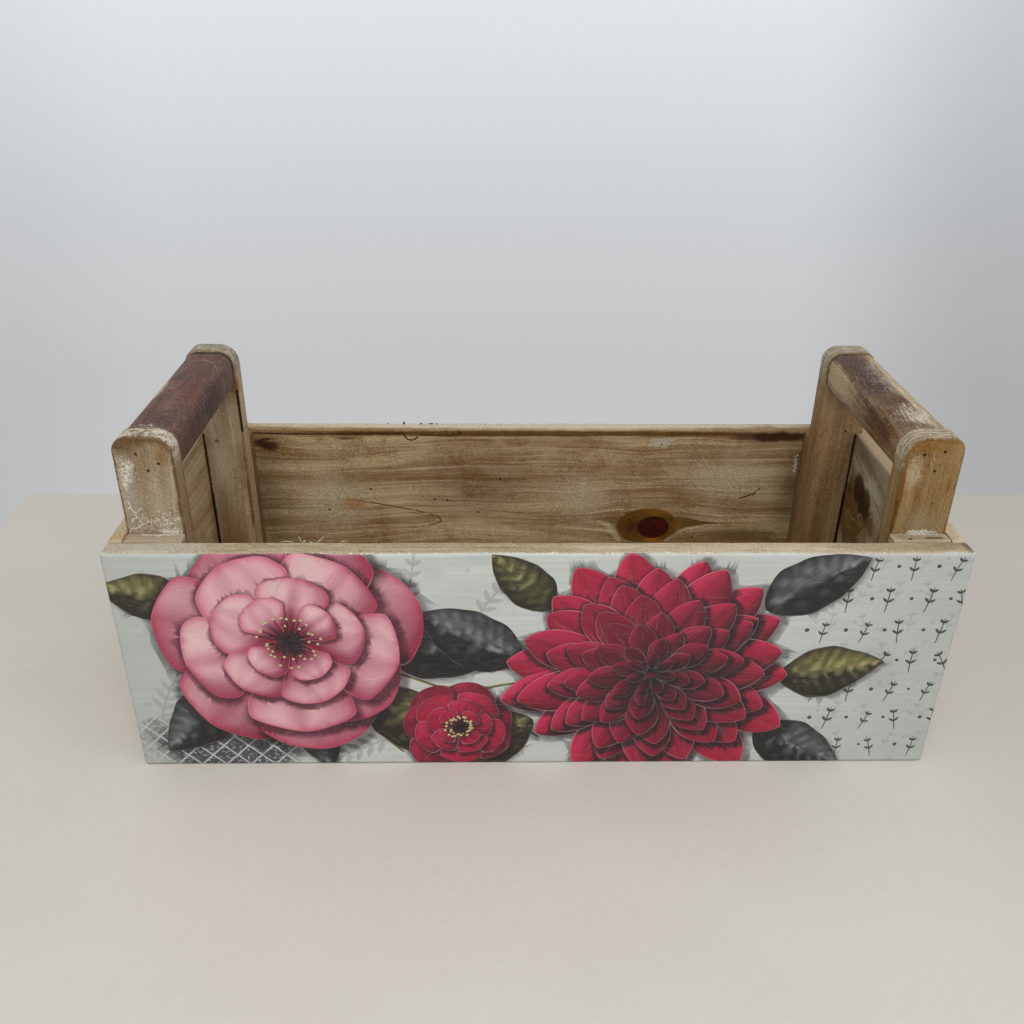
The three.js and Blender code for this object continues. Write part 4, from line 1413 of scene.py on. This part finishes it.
def paint_sheet(places, corners, blades):
    """At each triangle's corners: the ink and its cover, the way in from a rim, and the petal's own grid."""
    middles = places[corners].mean(1)
    ink = np.zeros(corners.shape + (4,))
    rim = np.zeros(corners.shape + (3,))
    grid = np.zeros(corners.shape + (2,))
    for number, blade in enumerate(blades):
        u, v, _ = blade.shares(middles)
        rows = np.flatnonzero((u > 0) & (u < 1) & (np.abs(v) < 1))
        if not len(rows):
            continue
        u, v, inside = blade.shares(places[corners[rows].ravel()])
        colour, cover = blade.paint(blade, u, v, inside)
        colour, cover = colour.reshape(len(rows), 3, 3), cover.reshape(len(rows), 3, 1)
        below = ink[rows]
        whole = cover + below[..., 3:] * (1 - cover)
        mixed = (colour * cover + below[..., :3] * below[..., 3:] * (1 - cover)) / np.maximum(whole, 1e-6)
        ink[rows] = np.concatenate([mixed, whole], -1)
        if blade.crisp:
            marks = np.column_stack([inside, np.full(len(u), blade.rim), np.full(len(u), blade.streak)])
            rim[rows] = marks.reshape(len(rows), 3, 3)
            silk = np.column_stack([u * blade.length, v * blade.width + SILK_STEP * number])
            grid[rows] = silk.reshape(len(rows), 3, 2)
    return ink, rim, grid


def printed_paper():
    """Whitewashed paper with the inks of the print, brushed over with a thin uneven varnish."""
    graph = material_graph("printed_paper")
    place = graph.place()
    x, _, z = graph.split(place)
    brush = graph.noise(place, (0.016, 0.0, 0.5), 5.0, 0.65)
    fine = graph.noise(place, (0.06, 0.0, 2.4), 3.0, 0.6)
    cloud = graph.noise(place, (0.014, 0.0, 0.02), 3.0)
    speck = graph.noise(place, (0.8, 0.0, 0.8), 3.0, 0.6)
    wash = graph.mix(graph.step(brush, 0.25, 0.75), srgb(178, 183, 178), srgb(196, 199, 194))
    ends = graph.step(graph.math("ABSOLUTE", x), 90.0, 235.0)
    wash = graph.lay(wash, srgb(158, 163, 158), ends, 0.55)
    wash = graph.lay(wash, srgb(178, 172, 172), graph.step(cloud, 0.48, 0.7), 0.5)
    wash = graph.lay(wash, srgb(142, 149, 148), graph.step(cloud, 0.45, 0.25), 0.5)
    soil = graph.noise(place, (0.09, 0.0, 0.12), 6.0, 0.7)
    wash = graph.lay(wash, srgb(120, 124, 122), graph.step(soil, 0.56, 0.72), 0.45)
    spots = graph.times(graph.step(speck, 0.68, 0.73), graph.step(cloud, 0.4, 0.6))
    wash = graph.lay(wash, srgb(70, 74, 74), spots, 0.7)

    patch = graph.spot(place, (-178, -94, 16), (60, 40, 32), 0.7, 0.5, 0.05)
    grit = graph.step(graph.noise(place, (0.5, 0.0, 0.5), 6.0, 0.8), 0.4, 0.47)
    net = 1.0
    for lean in (1.0, -1.0):
        lane = graph.math("PINGPONG", graph.total(x, graph.times(z, lean), 500.0), 7.0)
        net = graph.times(net, graph.step(lane, 0.45, 0.95))
    dark = graph.times(patch, grit, net, 0.92)
    wash = graph.mix(dark, wash, srgb(36, 40, 42))

    ink = graph.attribute("ink", "Color")
    cover = graph.attribute("ink", "Alpha")
    inside, rim, streak = graph.split(graph.attribute("rim", "Vector"))
    grid = graph.add("ShaderNodeUVMap", {}, uv_map="petal")
    silk = graph.noise(grid, (0.05, 0.9, 1.0), 4.0, 0.65)
    tooth = graph.noise(place, (2.2, 0.0, 2.2), 3.0, 0.7)
    ink = graph.lay(ink, srgb(226, 190, 192), graph.step(silk, 0.52, 0.8), streak, 0.3)
    ink = graph.lay(ink, srgb(20, 5, 12), graph.step(silk, 0.48, 0.2), streak, 0.75)
    line = graph.times(graph.step(inside, 0.8, 0.25), rim, graph.step(silk, 0.38, 0.62))
    ink = graph.lay(ink, srgb(228, 178, 186), line, 0.5)
    ink = graph.lay(ink, srgb(186, 178, 178), graph.step(tooth, 0.68, 0.74), 0.45)
    rub = graph.times(graph.step(fine, 0.58, 0.72), graph.step(brush, 0.42, 0.6), 0.22)
    colour = graph.mix(graph.math("SUBTRACT", cover, rub, clamp=True), wash, ink)

    torn = graph.total(graph.attribute("edge"), graph.times(graph.math("SUBTRACT", speck, 0.5), 1.5))
    colour = graph.mix(graph.step(torn, 0.62, 0.8), colour, srgb(216, 213, 206))
    nib = graph.times(graph.attribute("edge"), graph.step(tooth, 0.6, 0.68))
    colour = graph.lay(colour, srgb(58, 50, 42), nib, 0.85)
    height = graph.total(brush, graph.times(fine, 0.5), graph.times(tooth, 0.2))
    return graph.finish(colour, graph.total(graph.times(brush, 0.25), 0.3), height, depth=0.12, strength=0.45)


ROLL_RADIUS = 2.05
ROLL_LENGTH = 2.5
PAPER_BACK = 0.12
PASTE_LINE = 0.05
TURN_IN, TURN_DEPTH = 1.6, 0.12
TOP_FRAY, END_FRAY = 0.8, 1.2


def rolled(places, front, top):
    """Where places on the flat sheet lie, in metres, once its upper border is rolled back over the board."""
    angle = np.clip(places[:, 1] - (top - ROLL_RADIUS), 0, None) / ROLL_RADIUS
    depth = ROLL_RADIUS * (1 - np.cos(angle))
    height = np.where(angle > 0, top - ROLL_RADIUS + ROLL_RADIUS * np.sin(angle), places[:, 1])
    return np.column_stack([places[:, 0], front + depth, height]) * MM


def border_loop(corners):
    """The sheet's border as a ring of points, along the edges that only one triangle has."""
    runs = {(int(t[i]), int(t[(i + 1) % 3])) for t in corners for i in range(3)}
    following = {a: b for a, b in runs if (b, a) not in runs}
    loop = [min(following)]
    while following[loop[-1]] != loop[0]:
        loop.append(following[loop[-1]])
    return loop


def make_print():
    """The printed sheet, rolled over the board's upper edge and turned in a little at its other borders."""
    node = "front_paper"
    low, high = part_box(node)
    board_low, board_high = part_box("front_board")
    top = board_high.z / MM - PASTE_LINE
    near, far = (low.x / MM, low.z / MM), (high.x / MM, top - ROLL_RADIUS + ROLL_LENGTH)
    border = sheet_border(near, far)
    blades = flower_print()
    places, corners = cut_sheet(border, blades, near, far)
    used, corners = np.unique(corners, return_inverse=True)
    places, corners = places[used], corners.reshape(-1, 3)
    ink, rim, grid = paint_sheet(places, corners, blades)

    ends = np.minimum(places[:, 0] - board_low.x / MM, board_high.x / MM - places[:, 0])
    past = np.clip(TURN_IN - np.minimum(ends, places[:, 1] - board_low.z / MM), 0, None)
    front = low.y / MM + TURN_DEPTH * past ** 2
    from_top = np.clip(far[1] - places[:, 1], 0, None)
    edges = np.exp(-from_top / TOP_FRAY) + 0.4 * np.exp(-ends / END_FRAY)
    loop = border_loop(corners)
    count = len(loop)
    behind = len(places) + np.arange(count)
    points = np.concatenate([rolled(places, front, top), rolled(places[loop], front[loop] + PAPER_BACK, top)])
    faces = corners.tolist()
    for i, here in enumerate(loop):
        after = (i + 1) % count
        faces.append([loop[after], here, int(behind[i]), int(behind[after])])
    faces.append(behind[::-1].tolist())
    shares = {"edge": np.concatenate([edges, np.ones(count)])}
    piece = make_piece(node, points, faces, printed_paper(), shares)

    def all_corners(values):
        flat = values.reshape(-1, values.shape[-1])
        return np.concatenate([flat, np.zeros((5 * count, values.shape[-1]))]).ravel()

    mesh = piece.data
    mesh.attributes.new("ink", "FLOAT_COLOR", "CORNER")
    mesh.attributes.new("rim", "FLOAT_VECTOR", "CORNER")
    mesh.uv_layers.new(name="petal")
    mesh.uv_layers.new(name="OFBake")
    ink[..., :3] = to_linear(ink[..., :3])
    mesh.attributes["ink"].data.foreach_set("color", all_corners(ink))
    mesh.attributes["rim"].data.foreach_set("vector", all_corners(rim))
    mesh.uv_layers["petal"].data.foreach_set("uv", all_corners(grid))
    flat = (places - near) / (np.asarray(far) - near) * 0.98 + 0.01
    mesh.uv_layers["OFBake"].data.foreach_set("uv", all_corners(flat[corners]))


# Loose bits: paper fibres on the front board's rim and crumbs on the back board's

FIBRES = (
    ((-135.5, -82.8, 140.9), (-131.0, -82.2, 141.7), (-127.6, -83.4, 141.2)),
    ((-124.3, -82.6, 140.8), (-124.5, -82.0, 142.6), (-125.6, -81.6, 143.8)),
    ((-123.6, -82.9, 140.8), (-121.4, -82.0, 142.6), (-122.4, -83.8, 141.1)),
    ((-119.8, -82.6, 141.3), (-118.3, -84.4, 142.0), (-116.9, -86.6, 141.1)),
    ((-116.4, -83.2, 140.8), (-114.4, -81.8, 142.0), (-112.4, -80.8, 143.2)),
    ((-104.0, -83.0, 140.8), (-102.6, -82.2, 141.9), (-100.2, -82.6, 141.2)),
)
CRUMBS = (
    ((-85.8, 92.9, 133.1), (1.0, 0.8, 1.7)),
    ((-96.5, 93.0, 132.8), (0.8, 0.6, 0.7)),
    ((-74.2, 92.9, 132.9), (1.2, 0.7, 0.9)),
    ((-67.6, 92.8, 132.9), (2.3, 0.8, 0.9)),
    ((-63.5, 93.0, 132.8), (1.0, 0.7, 0.7)),
)


def fluff_paper():
    graph = material_graph("fluff_paper")
    speck = graph.rim(graph.place(), 1.2)
    tone = graph.mix(graph.step(speck, 0.35, 0.65), srgb(214, 207, 192), srgb(178, 164, 138))
    return graph.finish(tone, 0.85)


def wood_dust():
    graph = material_graph("wood_dust")
    speck = graph.rim(graph.place(), 1.6)
    tone = graph.mix(graph.step(speck, 0.35, 0.65), srgb(66, 46, 28), srgb(112, 90, 62))
    return graph.finish(tone, 0.9, speck, depth=0.3, strength=0.8)


def add_fibre(body, start, bend, end, radius=0.19 * MM, rings=9, sides=6):
    """A thin closed tube along a bent line, finer towards its ends."""
    start, bend, end = (Vector(point) * MM for point in (start, bend, end))
    loops = []
    for ring in range(rings):
        t = ring / (rings - 1)
        middle = (1 - t) ** 2 * start + 2 * t * (1 - t) * bend + t ** 2 * end
        way = (2 * (1 - t) * (bend - start) + 2 * t * (end - bend)).normalized()
        side = way.orthogonal().normalized()
        reach = radius * (0.45 + 0.55 * math.sin(math.pi * t))
        turns = [Matrix.Rotation(math.tau * i / sides, 3, way) @ side for i in range(sides)]
        loops.append([body.verts.new(middle + reach * turn) for turn in turns])
    for near, far in zip(loops, loops[1:]):
        for i in range(sides):
            body.faces.new((near[i], near[(i + 1) % sides], far[(i + 1) % sides], far[i]))
    body.faces.new(loops[0][::-1])
    body.faces.new(loops[-1])


def add_crumb(body, centre, radii):
    """A small lump with an uneven skin."""
    place = Matrix.Translation(Vector(centre) * MM) @ Matrix.Diagonal((*(r * MM for r in radii), 1.0))
    lump = bmesh.ops.create_icosphere(body, subdivisions=2, radius=1.0)["verts"]
    for vert in lump:
        vert.co = place @ (vert.co * (0.85 + 0.3 * noise.noise(vert.co * 1.7 + Vector(centre))))


def make_loose(name, body, material):
    bmesh.ops.recalc_face_normals(body, faces=body.faces)
    mesh = bpy.data.meshes.new(name)
    body.to_mesh(mesh)
    body.free()
    piece = new_object(name, mesh, material)
    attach(piece, BODY)


def make_loose_bits():
    fluff, dust = bmesh.new(), bmesh.new()
    for fibre in FIBRES:
        add_fibre(fluff, *fibre)
    for crumb in CRUMBS:
        add_crumb(dust, *crumb)
    make_loose("rim_fibres", fluff, fluff_paper())
    make_loose("rim_crumbs", dust, wood_dust())


# The table, the light and the camera

TABLE_LEFT, TABLE_RIGHT = -0.435, 0.75
TABLE_FRONT, TABLE_BACK = -0.95, 0.249
TABLE_THICK = 0.03


def table_cover():
    graph = material_graph("table_cover")
    place = graph.place()
    weave = graph.noise(place, (0.12, 1.6, 1.0), 4.0, 0.6)
    cloud = graph.noise(place, (0.006, 0.012, 0.01), 3.0)
    colour = graph.mix(graph.step(weave, 0.3, 0.75), srgb(206, 202, 193), srgb(200, 195, 185))
    colour = graph.lay(colour, srgb(210, 207, 201), graph.step(cloud, 0.3, 0.7), 0.4)
    # Painted shade: the cover darkens towards the right.
    right, _, _ = graph.split(place)
    colour = graph.lay(colour, srgb(178, 174, 168), graph.step(right, 150.0, 360.0), 0.6)
    return graph.finish(colour, 0.75, weave, depth=0.05, strength=0.25)


def make_table():
    low = Vector((TABLE_LEFT, TABLE_FRONT, -TABLE_THICK))
    high = Vector((TABLE_RIGHT, TABLE_BACK, 0.0))
    points, faces = box_surface(low, high, 0.1)
    points, _ = weathered(points, low, high, 3 * MM, 0.0, 1)
    table = new_object("table", surface_mesh("table", points, faces), table_cover())


WALL_TONES = ((0.2, srgb(196, 197, 198)), (0.55, srgb(206, 209, 211)), (1.0, srgb(225, 230, 233)))
SKY_TONE = (1.0, 1.0, 1.0, 1.0)
SKY_STRENGTH = 0.62
WALL_LOW, WALL_HIGH = -0.4, 0.0
WALL_SIDES = ((0.27, 0.46, 0.25), (-0.3, -0.47, 0.1))


def make_world():
    """White light all round. The camera sees a pale wall instead, with painted shade that darkens it to the
    sides and below.
    """
    world = bpy.data.worlds.new("studio")
    bpy.context.scene.world = world
    graph = Graph(world)
    graph.nodes.clear()
    right, _, up = graph.split(graph.add("ShaderNodeTexCoord", {}, "Generated"))
    height = graph.add("ShaderNodeMapRange", {"Value": up, "From Min": WALL_LOW, "From Max": WALL_HIGH})
    blend = graph.add("ShaderNodeValToRGB", {0: height})
    stops = blend.node.color_ramp.elements
    stops.new(0.5)
    for stop, (place, tone) in zip(stops, WALL_TONES):
        stop.position, stop.color = place, tone
    bright = 1.0
    for start, end, loss in WALL_SIDES:
        inputs = {0: graph.step(right, start, end), 1: -loss, 2: bright}
        bright = graph.add("ShaderNodeMath", inputs, operation="MULTIPLY_ADD")
    rays = graph.nodes.new("ShaderNodeLightPath").outputs
    seen = rays["Is Camera Ray"]
    for name in ("Is Glossy Ray", "Is Transmission Ray"):
        seen = graph.math("MAXIMUM", seen, rays[name])
    light = graph.add("ShaderNodeBackground", {"Color": SKY_TONE, "Strength": SKY_STRENGTH})
    wall = graph.add("ShaderNodeBackground", {"Color": blend, "Strength": bright})
    shown = graph.add("ShaderNodeMixShader", {0: seen, 1: light, 2: wall})
    graph.put(graph.nodes.new("ShaderNodeOutputWorld").inputs[0], shown)


def make_lamp(name, place, target, size, power):
    lamp = bpy.data.lights.new(name, "AREA")
    lamp.shape = "DISK"
    lamp.size = size
    lamp.energy = power
    holder = bpy.data.objects.new(name, lamp)
    holder.location = place
    holder.rotation_euler = (Vector(target) - Vector(place)).to_track_quat("-Z", "Y").to_euler()
    bpy.context.scene.collection.objects.link(holder)


def make_camera():
    ahead = Vector((math.sin(CAMERA_TURN), math.cos(CAMERA_TURN), 0.0))
    forward = math.cos(CAMERA_DOWN) * ahead - math.sin(CAMERA_DOWN) * Vector((0.0, 0.0, 1.0))
    level = Vector((math.cos(CAMERA_TURN), -math.sin(CAMERA_TURN), 0.0))
    upright = level.cross(forward)
    right = math.cos(CAMERA_ROLL) * level + math.sin(CAMERA_ROLL) * upright
    up = -math.sin(CAMERA_ROLL) * level + math.cos(CAMERA_ROLL) * upright
    lens = bpy.data.cameras.new("camera")
    lens.sensor_width = 36.0
    lens.lens = CAMERA_LENS
    camera = bpy.data.objects.new("camera", lens)
    turn = Matrix((right, up, -forward)).transposed().to_4x4()
    camera.matrix_world = Matrix.Translation(CAMERA_PLACE) @ turn
    bpy.context.scene.collection.objects.link(camera)
    bpy.context.scene.camera = camera


make_woodwork()
dress_brads()
make_print()
make_loose_bits()
make_table()
make_world()
make_lamp("key", place=(-0.05, -1.15, 1.3), target=(0, 0, 0.08), size=1.2, power=13.0)
make_lamp("fill", place=(0.8, -0.6, 0.9), target=(-0.1, 0, 0.1), size=0.8, power=1.9)
make_camera()
bpy.context.scene.view_settings.view_transform = "Standard"
